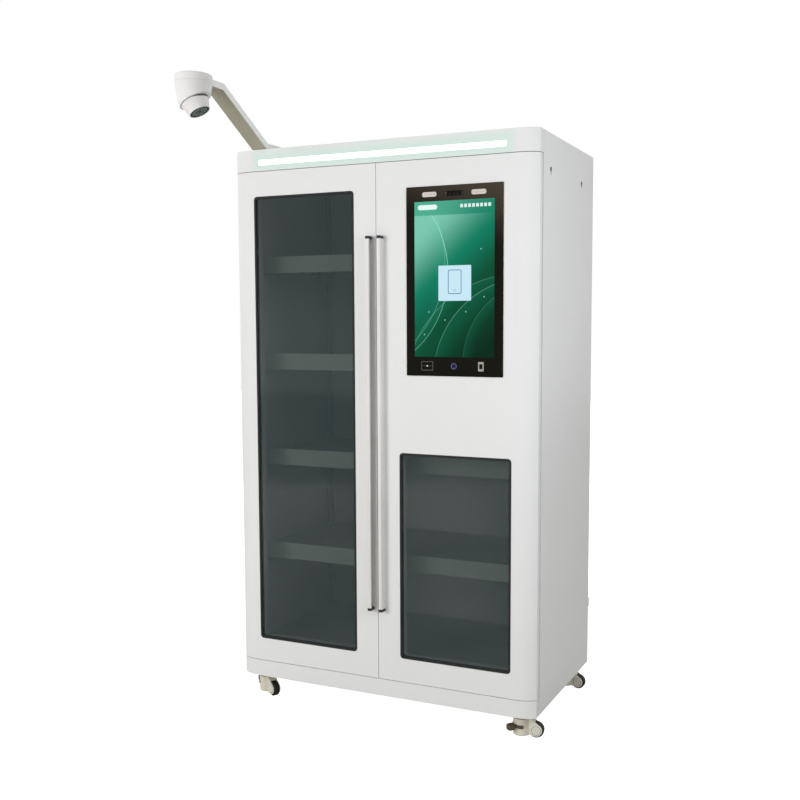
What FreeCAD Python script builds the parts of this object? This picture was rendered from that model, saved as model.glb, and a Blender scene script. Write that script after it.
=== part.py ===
"""Gauge storage cabinet: a two-door sheet-steel cabinet on levelling casters, with smoked windows,
a touch terminal in the right door, a status light across the top and a turret camera on an arm.

Lengths are in millimetres. Inside each body, x runs from the middle of the cabinet to its right side,
y from the flat front towards the back and z up from the floor. The origin of the whole cabinet lies on
the floor under the middle of everything it covers, so each body is placed at fit.front_y.
"""
import FreeCAD, Part
import os

import Sketcher
from FreeCAD import Placement, Rotation, Vector

doc = FreeCAD.newDocument("gauge_cabinet")

# Driving dimensions: each size is written once here, as a plain number.
DIMENSIONS = [
    ("body_width", 1080, "over the side panels"),
    ("body_depth", 600, "flat front to back"),
    ("body_height", 1800, "underside to roof"),
    ("caster_height", 80, "floor to underside"),
    ("skin", 1.5, "sheet of panels and doors"),
    ("tray_skin", 2, "sheet of the chassis tray"),
    ("front_depth", 50, "thickness of doors and bands"),
    ("body_gap", 2, "behind the closed doors"),
    ("door_gap", 2, "between the doors and above and below them"),
    ("corner_run", 60, "width of the curved front corner"),
    ("corner_drop", 21, "how far the corner curves back"),
    ("top_band", 71.4, "roof to the middle of the gap over the doors"),
    ("bottom_band", 57, "underside to the middle of the gap under the doors"),
    ("light_length", 880, "status light"),
    ("light_height", 18, "status light"),
    ("light_drop", 43, "roof to the middle of the status light"),
    ("light_depth", 7, "status light cover, front to back"),
    ("light_lip", 4, "flange of the light cover behind the band"),
    ("pivot_inset", 12, "pivot axis from the door's side and back"),
    ("pivot_radius", 4, "pivot pin"),
    ("pivot_play", 0.05, "round the pivot pin"),
    ("pivot_depth", 12, "pin inside the door"),
    ("pivot_plate", 3, "plate that carries the pin"),
    ("collar_radius", 8, "thrust collar in the gap"),
    ("window_width", 381, "both windows"),
    ("window_drop", 154, "roof to the top of the left window"),
    ("window_bottom", 136, "both windows, above the underside"),
    ("low_window_top", 810, "right window, above the underside"),
    ("window_inset", 269.5, "side of the cabinet to the middle of windows and terminal"),
    ("window_corner", 12, "corner radius of the windows"),
    ("gasket_border", 7, "black rubber seen round the glass"),
    ("gasket_depth", 14, "rubber, front to back"),
    ("glass_grip", 5, "how deep the glass sits in the rubber"),
    ("glass_skin", 4, "thickness of the glass"),
    ("glass_setback", 3, "door front to glass front"),
    ("terminal_width", 324, "front glass"),
    ("terminal_drop", 155.4, "roof to the top of the front glass"),
    ("terminal_height", 586, "front glass"),
    ("terminal_proud", 2.5, "front glass thickness, on the door skin"),
    ("terminal_depth", 72, "housing, behind the door skin"),
    ("terminal_margin", 12, "front glass beyond the housing"),
    ("terminal_play", 1, "housing in its door opening"),
    ("terminal_skin", 2.5, "wall of the housing"),
    ("display_width", 267.6, "active area"),
    ("display_height", 479.5, "active area"),
    ("display_rise", 59.8, "front glass bottom to active area bottom"),
    ("display_edge", 4, "frame of the display behind the glass"),
    ("display_depth", 6.5, "display module behind the front glass"),
    ("display_recess", 0.3, "display behind the face of the glass"),
    ("lamp_width", 49, "fill lights"),
    ("lamp_height", 15, "fill lights and sensor window"),
    ("lamp_drop", 25.4, "front glass top to the fill lights"),
    ("lamp_offset", 82.5, "fill lights from the terminal's middle"),
    ("sensor_width", 60, "sensor window"),
    ("reader_radius", 10, "round reader"),
    ("reader_rise", 31.6, "front glass bottom to the readers"),
    ("reader_offset", 90.5, "side readers from the terminal's middle"),
    ("card_width", 41, "card reader window"),
    ("scanner_width", 18.5, "code scanner window"),
    ("reader_height", 29, "side reader windows"),
    ("trim_proud", 0.6, "lamps and windows on the front glass"),
    ("grip_width", 12.5, "handle profile, side to side"),
    ("grip_depth", 25, "handle profile, out from the door"),
    ("grip_skin", 2.5, "wall of the handle profile"),
    ("grip_inner", 14, "cabinet's middle to the handle profile"),
    ("grip_bottom", 288, "above the underside"),
    ("grip_length", 1211, "with its end caps"),
    ("grip_cap", 9, "end cap"),
    ("grip_hook", 6, "lip behind the front of the handle profile"),
    ("wall_depth", 26.5, "outside of the side panel to the inner liner"),
    ("liner_back", 500, "where the inner liner ends"),
    ("liner_return", 14, "folded end of the liner"),
    ("back_return", 20, "folded rear edge of the side panels"),
    ("keyhole_front", 123, "first keyhole from the front"),
    ("keyhole_pitch", 334, "between keyholes"),
    ("keyhole_drop", 108, "roof to keyhole"),
    ("keyhole_radius", 8, "round part"),
    ("keyhole_slot", 3, "half width of the narrow part"),
    ("keyhole_length", 14, "round part to the end of the narrow part"),
    ("first_lip", 125, "lip of the floor shelf, above the underside"),
    ("shelf_pitch", 332, "from shelf to shelf"),
    ("lip_height", 56, "front lip of a shelf"),
    ("deck_drop", 17, "top of the lip to the shelf's surface"),
    ("shelf_front", 92, "flat front of the cabinet to the lip"),
    ("shelf_back", 560, "flat front of the cabinet to the rear edge"),
    ("shelf_play", 1.5, "between shelf and liner"),
    ("shelf_hem", 18, "turned edges at the sides and back of a shelf"),
    ("upright_width", 26, "slotted upright"),
    ("upright_slot_pitch", 83, "slots in the uprights"),
    ("upright_slot", 14, "height of a slot"),
    ("upright_slot_width", 5, "width of a slot"),
    ("bracket_length", 62, "shelf bracket, front to back"),
    ("bracket_height", 28, "shelf bracket"),
    ("bracket_ledge", 22, "shelf bracket under the shelf"),
    ("bracket_skin", 2, "shelf bracket"),
    ("bracket_front", 120, "front brackets from the flat front"),
    ("tray_height", 50, "walls of the chassis tray"),
    ("tray_inset", 28, "walls of the chassis tray from the side"),
    ("roof_flange", 22, "stiffening flange under the roof"),
    ("vent_width", 170, "vent slots in the back"),
    ("vent_height", 5, "vent slots in the back"),
    ("vent_pitch", 16, "vent slots in the back"),
    ("vent_count", 6, "vent slots in each group"),
    ("vent_low", 250, "first low vent above the underside"),
    ("vent_drop", 180, "roof to the first high vent"),
    ("inlet_width", 28, "power inlet"),
    ("inlet_height", 36, "power inlet"),
    ("inlet_proud", 11, "power inlet behind the back"),
    ("inlet_wall", 3, "power inlet round its socket"),
    ("inlet_rise", 218, "power inlet above the underside"),
    ("inlet_inset", 1, "power inlet from the side"),
    ("inlet_cup", 8, "depth of the socket"),
    ("lock_width", 96, "lock housing"),
    ("lock_depth", 30, "lock housing, front to back"),
    ("lock_height", 44, "lock housing"),
    ("lock_wall", 3, "lock housing"),
    ("bolt_radius", 5, "lock bolts"),
    ("bolt_offset", 26, "lock bolts from the middle"),
    ("bolt_travel", 12, "lock bolts"),
    ("bolt_play", 0.5, "lock bolts in their holes"),
    ("bolt_bar", 9, "bar that joins the bolts"),
    ("camera_inset", 103, "left side of the cabinet to the camera axis"),
    ("camera_ahead", 337, "camera axis ahead of the flat front"),
    ("cap_radius", 56, "round cap at the end of the arm"),
    ("cap_height", 23, "round cap"),
    ("cap_round", 5, "top edge of the cap"),
    ("cap_rise", 142, "roof to the underside of the cap"),
    ("arm_width", 56, "camera arm"),
    ("arm_skin", 20, "thickness of the arm"),
    ("arm_start", 4, "front edge of the roof to the first bend"),
    ("arm_head", 229, "flat front to the second bend"),
    ("arm_foot", 150, "length of the foot on the roof"),
    ("turret_top", 56, "turret radius under the cap"),
    ("turret_drop", 50, "cap underside to the eyeball's centre"),
    ("turret_wall", 4.5, "turret wall round the eyeball"),
    ("turret_gap", 0.4, "under the cap"),
    ("eye_radius", 43, "eyeball"),
    ("eye_play", 0.4, "eyeball in the turret"),
    ("tilt_pin", 3, "radius of the two pins that the eyeball tilts on"),
    ("tilt_pin_play", 0.05, "round the tilt pins"),
    ("tilt_pin_cover", 0.8, "turret wall left over the tilt pins"),
    ("eye_rim", 5, "eyeball centre to the turret's rim"),
    ("eye_nose", 41, "eyeball centre to its front"),
    ("eye_neck", 18, "where the nose leaves the eyeball"),
    ("nose_radius", 32.5, "front of the nose"),
    ("lens_radius", 30.5, "front window of the camera"),
    ("lens_depth", 4, "front window of the camera"),
    ("lens_tilt", 27, "lens axis from straight down"),
    ("lens_turn", 10.7, "lens axis from the right side, seen from above"),
    ("caster_inset", 62, "swivel axes from the sides"),
    ("caster_y", 61, "swivel axes from the front and back"),
    ("plate_size", 70, "caster plate"),
    ("plate_skin", 6, "caster plate"),
    ("race_radius", 30, "swivel race under the plate"),
    ("race_height", 10, "swivel race under the plate"),
    ("race_gap", 0.4, "under the swivel race"),
    ("kingpin_radius", 7, "swivel pin"),
    ("kingpin_depth", 6, "swivel pin in the housing"),
    ("can_radius", 27, "caster housing"),
    ("can_clearance", 8, "floor to the caster housing"),
    ("can_round", 4, "lower edge of the caster housing"),
    ("axle_play", 0.05, "round axle and swivel pin"),
    ("trail", 47, "swivel axis to wheel axle"),
    ("wheel_radius", 25, "over the tyre"),
    ("wheel_width", 20, "over the tyre"),
    ("hub_radius", 17, "under the tyre"),
    ("axle_radius", 4, "wheel axle"),
    ("wheel_gap", 2, "housing to tyre"),
    ("fork_gap", 0.8, "cheek to wheel"),
    ("cheek_skin", 3.5, "fork cheek"),
    ("cheek_radius", 19, "fork cheek round the axle"),
    ("axle_cap", 9, "radius of the caps over the axle"),
    ("axle_cap_proud", 1.5, "axle caps outside the cheeks"),
    ("foot_radius", 18.5, "levelling foot"),
    ("foot_skin", 7, "levelling foot"),
    ("foot_rise", 9, "floor to the raised foot"),
    ("stem_radius", 8, "levelling stem"),
    ("stem_length", 34, "levelling stem"),
    ("foot_play", 0.08, "round the levelling stem"),
    ("foot_pocket", 16, "depth of the recess for the foot"),
    ("ring_height", 10, "ratchet ring"),
    ("ring_rise", 33, "floor to the ratchet ring"),
    ("ring_groove", 1.5, "depth of the groove for the ratchet ring"),
    ("ring_skin", 4, "ratchet ring"),
    ("ring_play", 0.3, "round the ratchet ring"),
    ("lever_reach", 50, "swivel axis to the end of the lever"),
    ("lever_width", 18, "ratchet lever"),
]

# Worked-out values, each from the dimensions above.
WORKED_OUT = [
    ("half_width", "dims.body_width / 2"),
    ("reach", "dims.camera_ahead + dims.cap_radius"),
    ("front_y", "(dims.camera_ahead + dims.cap_radius - dims.body_depth - dims.inlet_proud) / 2"),
    ("roof_z", "dims.caster_height + dims.body_height"),
    ("body_front", "dims.front_depth + dims.body_gap"),
    ("corner_radius", "(dims.corner_run^2 + dims.corner_drop^2) / (2 * dims.corner_drop)"),
    ("corner_x", "half_width - dims.corner_run"),
    ("door_bottom", "dims.caster_height + dims.bottom_band + dims.door_gap / 2"),
    ("door_top", "roof_z - dims.top_band - dims.door_gap / 2"),
    ("door_height", "door_top - door_bottom"),
    ("band_bottom", "door_top + dims.door_gap"),
    ("pivot_x", "half_width - dims.pivot_inset"),
    ("pivot_y", "dims.front_depth - dims.pivot_inset"),
    ("window_low", "dims.caster_height + dims.window_bottom"),
    ("window_middle", "half_width - dims.window_inset"),
    ("window_high", "roof_z - dims.window_drop"),
    ("low_window_high", "dims.caster_height + dims.low_window_top"),
    ("terminal_high", "roof_z - dims.terminal_drop"),
    ("terminal_low", "terminal_high - dims.terminal_height"),
    ("display_low", "terminal_low + dims.display_rise"),
    ("housing_width", "dims.terminal_width - 2 * dims.terminal_margin"),
    ("housing_height", "dims.terminal_height - 2 * dims.terminal_margin"),
    ("lamp_z", "terminal_high - dims.lamp_drop"),
    ("reader_z", "terminal_low + dims.reader_rise"),
    ("light_z", "roof_z - dims.light_drop"),
    ("bolt_bore", "dims.bolt_radius + dims.bolt_play"),
    ("keyhole_z", "roof_z - dims.keyhole_drop"),
    ("keyhole_neck", "sqrt(dims.keyhole_radius^2 - dims.keyhole_slot^2)"),
    ("tray_top", "dims.caster_height + dims.tray_skin"),
    ("liner_half", "half_width - dims.wall_depth"),
    ("shelf_half", "liner_half - dims.shelf_play"),
    ("back_face", "dims.body_depth - dims.skin"),
    ("vent_high", "dims.body_height - dims.vent_drop"),
    ("caster_x", "half_width - dims.caster_inset"),
    ("camera_x", "dims.camera_inset - half_width"),
    ("arm_slope", "atan(dims.cap_rise / (dims.arm_head + dims.arm_start))"),
    ("arm_bend", "dims.arm_skin * tan(arm_slope / 2)"),
    ("cap_low", "roof_z + dims.cap_rise"),
    ("eye_z", "cap_low - dims.turret_drop"),
    ("turret_radius", "dims.eye_radius + dims.eye_play + dims.turret_wall"),
    ("turret_far", "sqrt(dims.turret_top^2 + dims.turret_drop^2)"),
    ("turret_angle", "atan(dims.turret_drop / dims.turret_top) - acos(turret_radius / turret_far)"),
    ("neck_radius", "sqrt(dims.eye_radius^2 - dims.eye_neck^2)"),
    ("pin_reach", "turret_radius - dims.tilt_pin_cover"),
    ("race_low", "dims.caster_height - dims.plate_skin - dims.race_height"),
    ("can_top", "race_low - dims.race_gap"),
    ("fork_inner", "dims.wheel_width / 2 + dims.fork_gap"),
    ("fork_outer", "fork_inner + dims.cheek_skin"),
    ("foot_bore", "dims.foot_radius + dims.foot_play * 5"),
    ("stem_bore", "dims.stem_radius + dims.foot_play"),
    ("ring_inner", "dims.can_radius - dims.ring_groove + dims.ring_play"),
    ("ring_outer", "ring_inner + dims.ring_skin"),
]

# Where each caster stands, which way its wheel trails, and its lever from there, seen from above.
CASTERS = [
    ("front_left", -1, "dims.caster_y", -28, 180),
    ("front_right", 1, "dims.caster_y", 12, 223),
    ("rear_left", -1, "dims.body_depth - dims.caster_y", 15, 223),
    ("rear_right", 1, "dims.body_depth - dims.caster_y", -3, 200),
]
FORK_TOP_ANGLE = 55
FORK_END_ANGLE = -100
RING_START = -125
RING_END = 65
SHELVES = ["floor_shelf", "shelf_1", "shelf_2", "shelf_3", "shelf_4"]

nodes = []


def make_sheet(name, rows):
    """A sheet with one value in each row, under its alias, and a note beside it."""
    sheet = doc.addObject("Spreadsheet::Sheet", name)
    for number, row in enumerate(rows, 1):
        sheet.setAlias(f"A{number}", row[0])
        sheet.set(f"A{number}", str(row[1]))
        if len(row) > 2:
            sheet.set(f"B{number}", row[2])
    doc.recompute()
    return sheet


dims = make_sheet("dims", DIMENSIONS)
fit = make_sheet("fit", [(alias, "=" + formula) for alias, formula in WORKED_OUT])


def value(expression):
    """The number that an expression on the two sheets stands for now."""
    return float(fit.evalExpression(str(expression)))


def node(label, kind, place=("0", "fit.front_y", "0"), turn=None):
    """A sub-part with its own label, placed by three expressions and turned about z by a fourth."""
    item = doc.addObject(kind, label)
    item.Label = label
    nodes.append(item)
    place_by(item, place, turn)
    return item


def place_by(item, place, turn=None):
    if turn is not None:
        item.Placement = Placement(Vector(), Rotation(Vector(0, 0, 1), 1))
        item.setExpression("Placement.Rotation.Angle", turn)
    for axis, expression in zip("xyz", place):
        item.setExpression(f"Placement.Base.{axis}", expression)


def body(label, place=("0", "fit.front_y", "0"), turn=None):
    return node(label, "PartDesign::Body", place, turn)


def sketch_on(part, plane, offset="0"):
    """An empty sketch on one of the body's origin planes, moved along the plane's normal."""
    sketch = part.newObject("Sketcher::SketchObject", "outline")
    origin_plane = next(f for f in part.Origin.OriginFeatures if f.Role == plane)
    sketch.AttachmentSupport = [(origin_plane, "")]
    sketch.MapMode = "FlatFace"
    sketch.setExpression(".AttachmentOffset.Base.z", offset)
    return sketch


def hold(sketch, kind, *where):
    """A dimension of a sketch, bound to the expression that comes last."""
    expression = str(where[-1])
    index = sketch.addConstraint(Sketcher.Constraint(kind, *where[:-1], value(expression)))
    sketch.setExpression(f"Constraints[{index}]", expression)


def arc_between(start, end, radius, bend):
    """The short arc between two points; bend is 1 where it turns left on its way and -1 where right."""
    chord = end - start
    rise = max(radius * radius - chord.Length ** 2 / 4, 0) ** 0.5
    side = Vector(-chord.y, chord.x, 0).normalize()
    centre = (start + end) / 2 + side * rise * bend
    first, last = (start, end) if bend > 0 else (end, start)
    flat = Vector(1, 0, 0)
    angles = [flat.getAngle(p - centre) * (1 if (p - centre).y >= 0 else -1) for p in (first, last)]
    circle = Part.Circle(centre, Vector(0, 0, 1), radius)
    return Part.ArcOfCircle(circle, angles[0], angles[1])


def draw(sketch, start, *edges):
    """A closed outline. An edge is the point it runs to, and for an arc its radius and bend too. The
    last edge runs back to the start."""
    corners = [start] + [edge[:2] for edge in edges[:-1]]
    spots = [Vector(value(x), value(y), 0) for x, y in corners]
    ends = []
    for number, edge in enumerate(edges):
        here = spots[number]
        there = spots[(number + 1) % len(spots)]
        if len(edge) == 2:
            index = sketch.addGeometry(Part.LineSegment(here, there), False)
            ends.append((index, 1, 2))
            continue
        index = sketch.addGeometry(arc_between(here, there, value(edge[2]), edge[3]), False)
        ends.append((index, 1, 2) if edge[3] > 0 else (index, 2, 1))
    for number, (index, first, last) in enumerate(ends):
        after, after_first, _ = ends[(number + 1) % len(ends)]
        sketch.addConstraint(Sketcher.Constraint("Coincident", index, last, after, after_first))
        hold(sketch, "DistanceX", -1, 1, index, first, corners[number][0])
        hold(sketch, "DistanceY", -1, 1, index, first, corners[number][1])
        if len(edges[number]) > 2:
            hold(sketch, "Radius", index, edges[number][2])
    return sketch


def draw_circle(sketch, x, y, radius):
    circle = Part.Circle(Vector(value(x), value(y), 0), Vector(0, 0, 1), value(radius))
    index = sketch.addGeometry(circle, False)
    hold(sketch, "DistanceX", -1, 1, index, 3, x)
    hold(sketch, "DistanceY", -1, 1, index, 3, y)
    hold(sketch, "Radius", index, radius)
    return sketch


def draw_box(sketch, left, low, right, high):
    return draw(sketch, (left, low), (right, low), (right, high), (left, high), (left, low))


def draw_round_box(sketch, left, low, right, high, radius):
    """A rectangle with round corners."""
    l_in, r_in = f"{left} + {radius}", f"{right} - ({radius})"
    b_in, t_in = f"{low} + {radius}", f"{high} - ({radius})"
    return draw(
        sketch, (l_in, low), (r_in, low), (right, b_in, radius, 1), (right, t_in),
        (r_in, high, radius, 1), (l_in, high), (left, t_in, radius, 1), (left, b_in), (l_in, low, radius, 1),
    )


def feature(part, kind, sketch, length, back=False, both=False):
    """A pad or pocket. back turns it round, both makes it grow evenly to both sides."""
    before = part.Shape.Volume if part.Tip else 0
    item = part.newObject("PartDesign::" + kind, kind.lower())
    item.Profile = sketch
    item.setExpression("Length", str(length))
    item.Reversed = back
    item.SideType = "Symmetric" if both else "One side"
    sketch.Visibility = False
    doc.recompute()
    change = part.Shape.Volume - before
    if (change <= 0) if kind == "Pad" else (change >= 0):
        raise RuntimeError(f"{part.Label}: this {kind} changes nothing")
    return item


def pad(part, sketch, length, **how):
    return feature(part, "Pad", sketch, length, **how)


def pocket(part, sketch, length, **how):
    return feature(part, "Pocket", sketch, length, **how)


def repeat_along(part, item, plane_axis, spacing, count):
    """The same pocket again and again along an axis of the body."""
    pattern = part.newObject("PartDesign::LinearPattern", "pattern")
    pattern.Originals = [item]
    axis = next(f for f in part.Origin.OriginFeatures if f.Role == plane_axis)
    pattern.Direction = (axis, [""])
    pattern.Mode = "Spacing"
    pattern.setExpression("Offset", spacing)
    pattern.setExpression("Occurrences", count)
    part.Tip = pattern
    doc.recompute()
    return pattern


def block(name, left, front, low, width, depth, height):
    """A box by its low corner and its three sizes, placed in the cabinet's own measures."""
    item = doc.addObject("Part::Box", name)
    for size, expression in zip(("Length", "Width", "Height"), (width, depth, height)):
        item.setExpression(size, expression)
    place_by(item, (left, f"fit.front_y + {front}", low))
    return item


def rod(name, x, y, low, radius, height):
    item = doc.addObject("Part::Cylinder", name)
    item.setExpression("Radius", radius)
    item.setExpression("Height", height)
    place_by(item, (x, f"fit.front_y + {y}", low))
    return item


def joined(label, pieces):
    item = doc.addObject("Part::MultiFuse", label)
    item.Shapes = pieces
    return item


def cut_out(label, base, tool):
    item = doc.addObject("Part::Cut", label)
    item.Base = base
    item.Tool = tool
    return item


def group(label, pieces):
    """Several separate solids that share one node."""
    item = doc.addObject("Part::Compound", label)
    item.Label = label
    item.Links = pieces
    nodes.append(item)
    return item


def signed(side, expression):
    return f"{side} * ({expression})"


# The front outline that the doors and both bands share.
def front_corner(side, inset="0"):
    """From the flat front round the curved corner to the flat side. inset is how far inside it runs."""
    radius = f"(fit.corner_radius - ({inset}))"
    drop = f"fit.corner_radius - sqrt({radius}^2 - (dims.corner_run - ({inset}))^2)"
    start = (signed(side, "fit.corner_x"), inset)
    end = (signed(side, f"fit.half_width - ({inset})"), drop, radius, side)
    return start, end


def band(label, low, height):
    """A folded band over the whole front: curved corners, closed top and bottom, open at the back."""
    part = body(label)
    left, left_end = front_corner(-1)
    right, right_end = front_corner(1)
    outer = sketch_on(part, "XY_Plane", low)
    back = "dims.front_depth"
    draw(
        outer, left, right, right_end, (right_end[0], back), (left_end[0], back),
        left_end[:2], (*left, left_end[2], 1),
    )
    pad(part, outer, height)
    left, left_end = front_corner(-1, "dims.skin")
    right, right_end = front_corner(1, "dims.skin")
    inner = sketch_on(part, "XY_Plane", f"{low} + {height} - dims.skin")
    back = "dims.front_depth + 1"
    draw(
        inner, left, right, right_end, (right_end[0], back), (left_end[0], back),
        left_end[:2], (*left, left_end[2], 1),
    )
    pocket(part, inner, f"{height} - 2 * dims.skin")
    return part


def pivot_holes(part, plane_offset, length, back=False):
    """Holes for the two pivot pins through the sheet of a band."""
    for side in (-1, 1):
        hole = sketch_on(part, "XY_Plane", plane_offset)
        draw_circle(hole, signed(side, "fit.pivot_x"), "fit.pivot_y", "dims.pivot_radius")
        pocket(part, hole, length, back=back)


def top_band():
    part = band("top_band", "fit.band_bottom", "(fit.roof_z - fit.band_bottom)")
    slot = sketch_on(part, "XZ_Plane", "1")
    half = "dims.light_length / 2"
    draw_round_box(
        slot, f"-{half}", "fit.light_z - dims.light_height / 2", half,
        "fit.light_z + dims.light_height / 2", "dims.light_height / 4",
    )
    pocket(part, slot, "dims.skin + 2")
    pivot_holes(part, "fit.band_bottom + dims.skin + 1", "dims.skin + 2")
    for side in (-1, 1):
        hole = sketch_on(part, "XY_Plane", "fit.band_bottom + dims.skin + 1")
        draw_circle(hole, signed(side, "dims.bolt_offset"), "dims.front_depth / 2", "fit.bolt_bore")
        pocket(part, hole, "dims.skin + 2")
    return part


def bottom_band():
    height = "(fit.door_bottom - dims.door_gap - dims.caster_height)"
    part = band("bottom_band", "dims.caster_height", height)
    pivot_holes(part, "fit.door_bottom - dims.door_gap + 1", "dims.skin + 2")
    return part


def status_light_cover():
    """A clear bar that fills the slot, with a flange behind the sheet."""
    part = body("status_light_cover")
    half = "dims.light_length / 2"
    front = sketch_on(part, "XZ_Plane", "0")
    draw_round_box(
        front, f"-{half}", "fit.light_z - dims.light_height / 2", half,
        "fit.light_z + dims.light_height / 2", "dims.light_height / 4",
    )
    pad(part, front, "dims.light_depth", back=True)
    flange = sketch_on(part, "XZ_Plane", "-dims.skin")
    draw_box(
        flange, f"-{half} - dims.light_lip", "fit.light_z - dims.light_height / 2 - dims.light_lip",
        f"{half} + dims.light_lip", "fit.light_z + dims.light_height / 2 + dims.light_lip",
    )
    pad(part, flange, "dims.light_depth - dims.skin", back=True)
    return part


def side_panel(label, side):
    """One folded sheet: outer skin, front return and inner liner, with two keyholes in the skin."""
    part = body(label)
    sheet = sketch_on(part, "XY_Plane", "fit.tray_top")

    def at(x, y):
        return signed(side, x), y

    outer, liner = "fit.half_width", "fit.liner_half"
    front, back = "fit.body_front", "dims.body_depth"
    rear_fold, liner_fold = f"{outer} - dims.back_return", f"{liner} + dims.liner_return"
    draw(
        sheet, at(outer, front), at(outer, back), at(rear_fold, back), at(rear_fold, "fit.back_face"),
        at(f"{outer} - dims.skin", "fit.back_face"), at(f"{outer} - dims.skin", f"{front} + dims.skin"),
        at(f"{liner} + dims.skin", f"{front} + dims.skin"),
        at(f"{liner} + dims.skin", "dims.liner_back - dims.skin"),
        at(liner_fold, "dims.liner_back - dims.skin"),
        at(liner_fold, "dims.liner_back"), at(liner, "dims.liner_back"), at(liner, front), at(outer, front),
    )
    pad(part, sheet, "fit.roof_z - dims.skin - fit.tray_top")
    radius, slot = "dims.keyhole_radius", "dims.keyhole_slot"
    low = "fit.keyhole_z - dims.keyhole_length"
    neck = "fit.keyhole_z - fit.keyhole_neck"
    for y in ("dims.keyhole_front", "dims.keyhole_front + dims.keyhole_pitch"):
        hole = sketch_on(part, "YZ_Plane", signed(side, "fit.half_width + 1"))
        draw(
            hole, (f"{y} - {slot}", low), (y, f"{low} - {slot}", slot, 1), (f"{y} + {slot}", low, slot, 1),
            (f"{y} + {slot}", neck), (y, f"fit.keyhole_z + {radius}", radius, 1),
            (f"{y} - {slot}", neck, radius, 1), (f"{y} - {slot}", low),
        )
        pocket(part, hole, "dims.skin + 2", back=side < 0)
    return part


def back_panel():
    part = body("back_panel")
    half = "(fit.half_width - dims.skin)"
    sheet = sketch_on(part, "XZ_Plane", "-fit.back_face")
    draw_box(sheet, f"-{half}", "fit.tray_top", half, "fit.roof_z - dims.skin")
    pad(part, sheet, "dims.skin")
    for first in ("dims.vent_low", "fit.vent_high"):
        for middle in ("-fit.window_middle", "fit.window_middle"):
            slot = sketch_on(part, "XZ_Plane", "-fit.back_face - 1")
            low = f"dims.caster_height + {first}"
            draw_round_box(
                slot, f"{middle} - dims.vent_width / 2", low, f"{middle} + dims.vent_width / 2",
                f"{low} + dims.vent_height", "dims.vent_height / 2.5",
            )
            opening = pocket(part, slot, "dims.skin + 2", back=True)
            repeat_along(part, opening, "Z_Axis", "dims.vent_pitch", "dims.vent_count")
    return part


def inlet_box(wall="0"):
    """Left, low, right and high edge of the power inlet, inside a wall of the given thickness."""
    right = "fit.half_width - dims.inlet_inset"
    low = "dims.caster_height + dims.inlet_rise - dims.inlet_height / 2"
    return (
        f"{right} - dims.inlet_width + {wall}", f"{low} + {wall}",
        f"{right} - {wall}", f"{low} + dims.inlet_height - {wall}",
    )


def power_inlet():
    """A socket housing on the rear edge, which steps down onto the back panel beside it."""
    part = body("power_inlet")
    left, low, right, high = inlet_box()
    shell = sketch_on(part, "XZ_Plane", "-dims.body_depth")
    draw_round_box(shell, left, low, right, high, "3")
    pad(part, shell, "dims.inlet_proud", back=True)
    step = sketch_on(part, "XZ_Plane", "-fit.back_face")
    draw_box(step, f"{left} + 1", f"{low} + 3", "fit.half_width - dims.back_return", f"{high} - 3")
    pad(part, step, "dims.skin + 1", back=True)
    cup = sketch_on(part, "XZ_Plane", "-dims.body_depth - dims.inlet_proud - 1")
    draw_round_box(cup, *inlet_box("dims.inlet_wall"), "2")
    pocket(part, cup, "dims.inlet_cup + 1", back=True)
    return part


def roof_panel():
    """The roof sheet with a stiffening flange round its underside."""
    part = body("roof_panel")
    half = "fit.half_width"
    sheet = sketch_on(part, "XY_Plane", "fit.roof_z - dims.skin")
    draw_box(sheet, f"-{half}", "dims.front_depth", half, "dims.body_depth")
    pad(part, sheet, "dims.skin")
    inner = "(fit.liner_half - dims.skin)"
    flange = sketch_on(part, "XY_Plane", "fit.roof_z - dims.skin")
    draw_box(flange, f"-{inner}", "fit.body_front", inner, "fit.back_face - dims.skin")
    pad(part, flange, "dims.roof_flange", back=True)
    hollow = sketch_on(part, "XY_Plane", "fit.roof_z - dims.skin")
    inside = f"({inner} - dims.skin)"
    draw_box(hollow, f"-{inside}", "fit.body_front + dims.skin", inside, "fit.back_face - 2 * dims.skin")
    pocket(part, hollow, "dims.roof_flange + 1")
    return part


def chassis_tray():
    """The base sheet with upright walls, on which the sides stand and under which the casters bolt."""
    part = body("chassis_tray")
    half = "fit.half_width"
    sheet = sketch_on(part, "XY_Plane", "dims.caster_height")
    draw_box(sheet, f"-{half}", "dims.front_depth", half, "dims.body_depth")
    pad(part, sheet, "dims.tray_skin")
    inner = "(fit.half_width - dims.tray_inset)"
    walls = sketch_on(part, "XY_Plane", "fit.tray_top")
    draw_box(walls, f"-{inner}", "fit.body_front", inner, "fit.back_face - dims.skin - 1")
    pad(part, walls, "dims.tray_height")
    hollow = sketch_on(part, "XY_Plane", "fit.tray_top + dims.tray_height")
    inside = f"({inner} - dims.tray_skin)"
    draw_box(
        hollow, f"-{inside}", "fit.body_front + dims.tray_skin", inside,
        "fit.back_face - dims.skin - 1 - dims.tray_skin",
    )
    pocket(part, hollow, "dims.tray_height")
    return part


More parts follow.
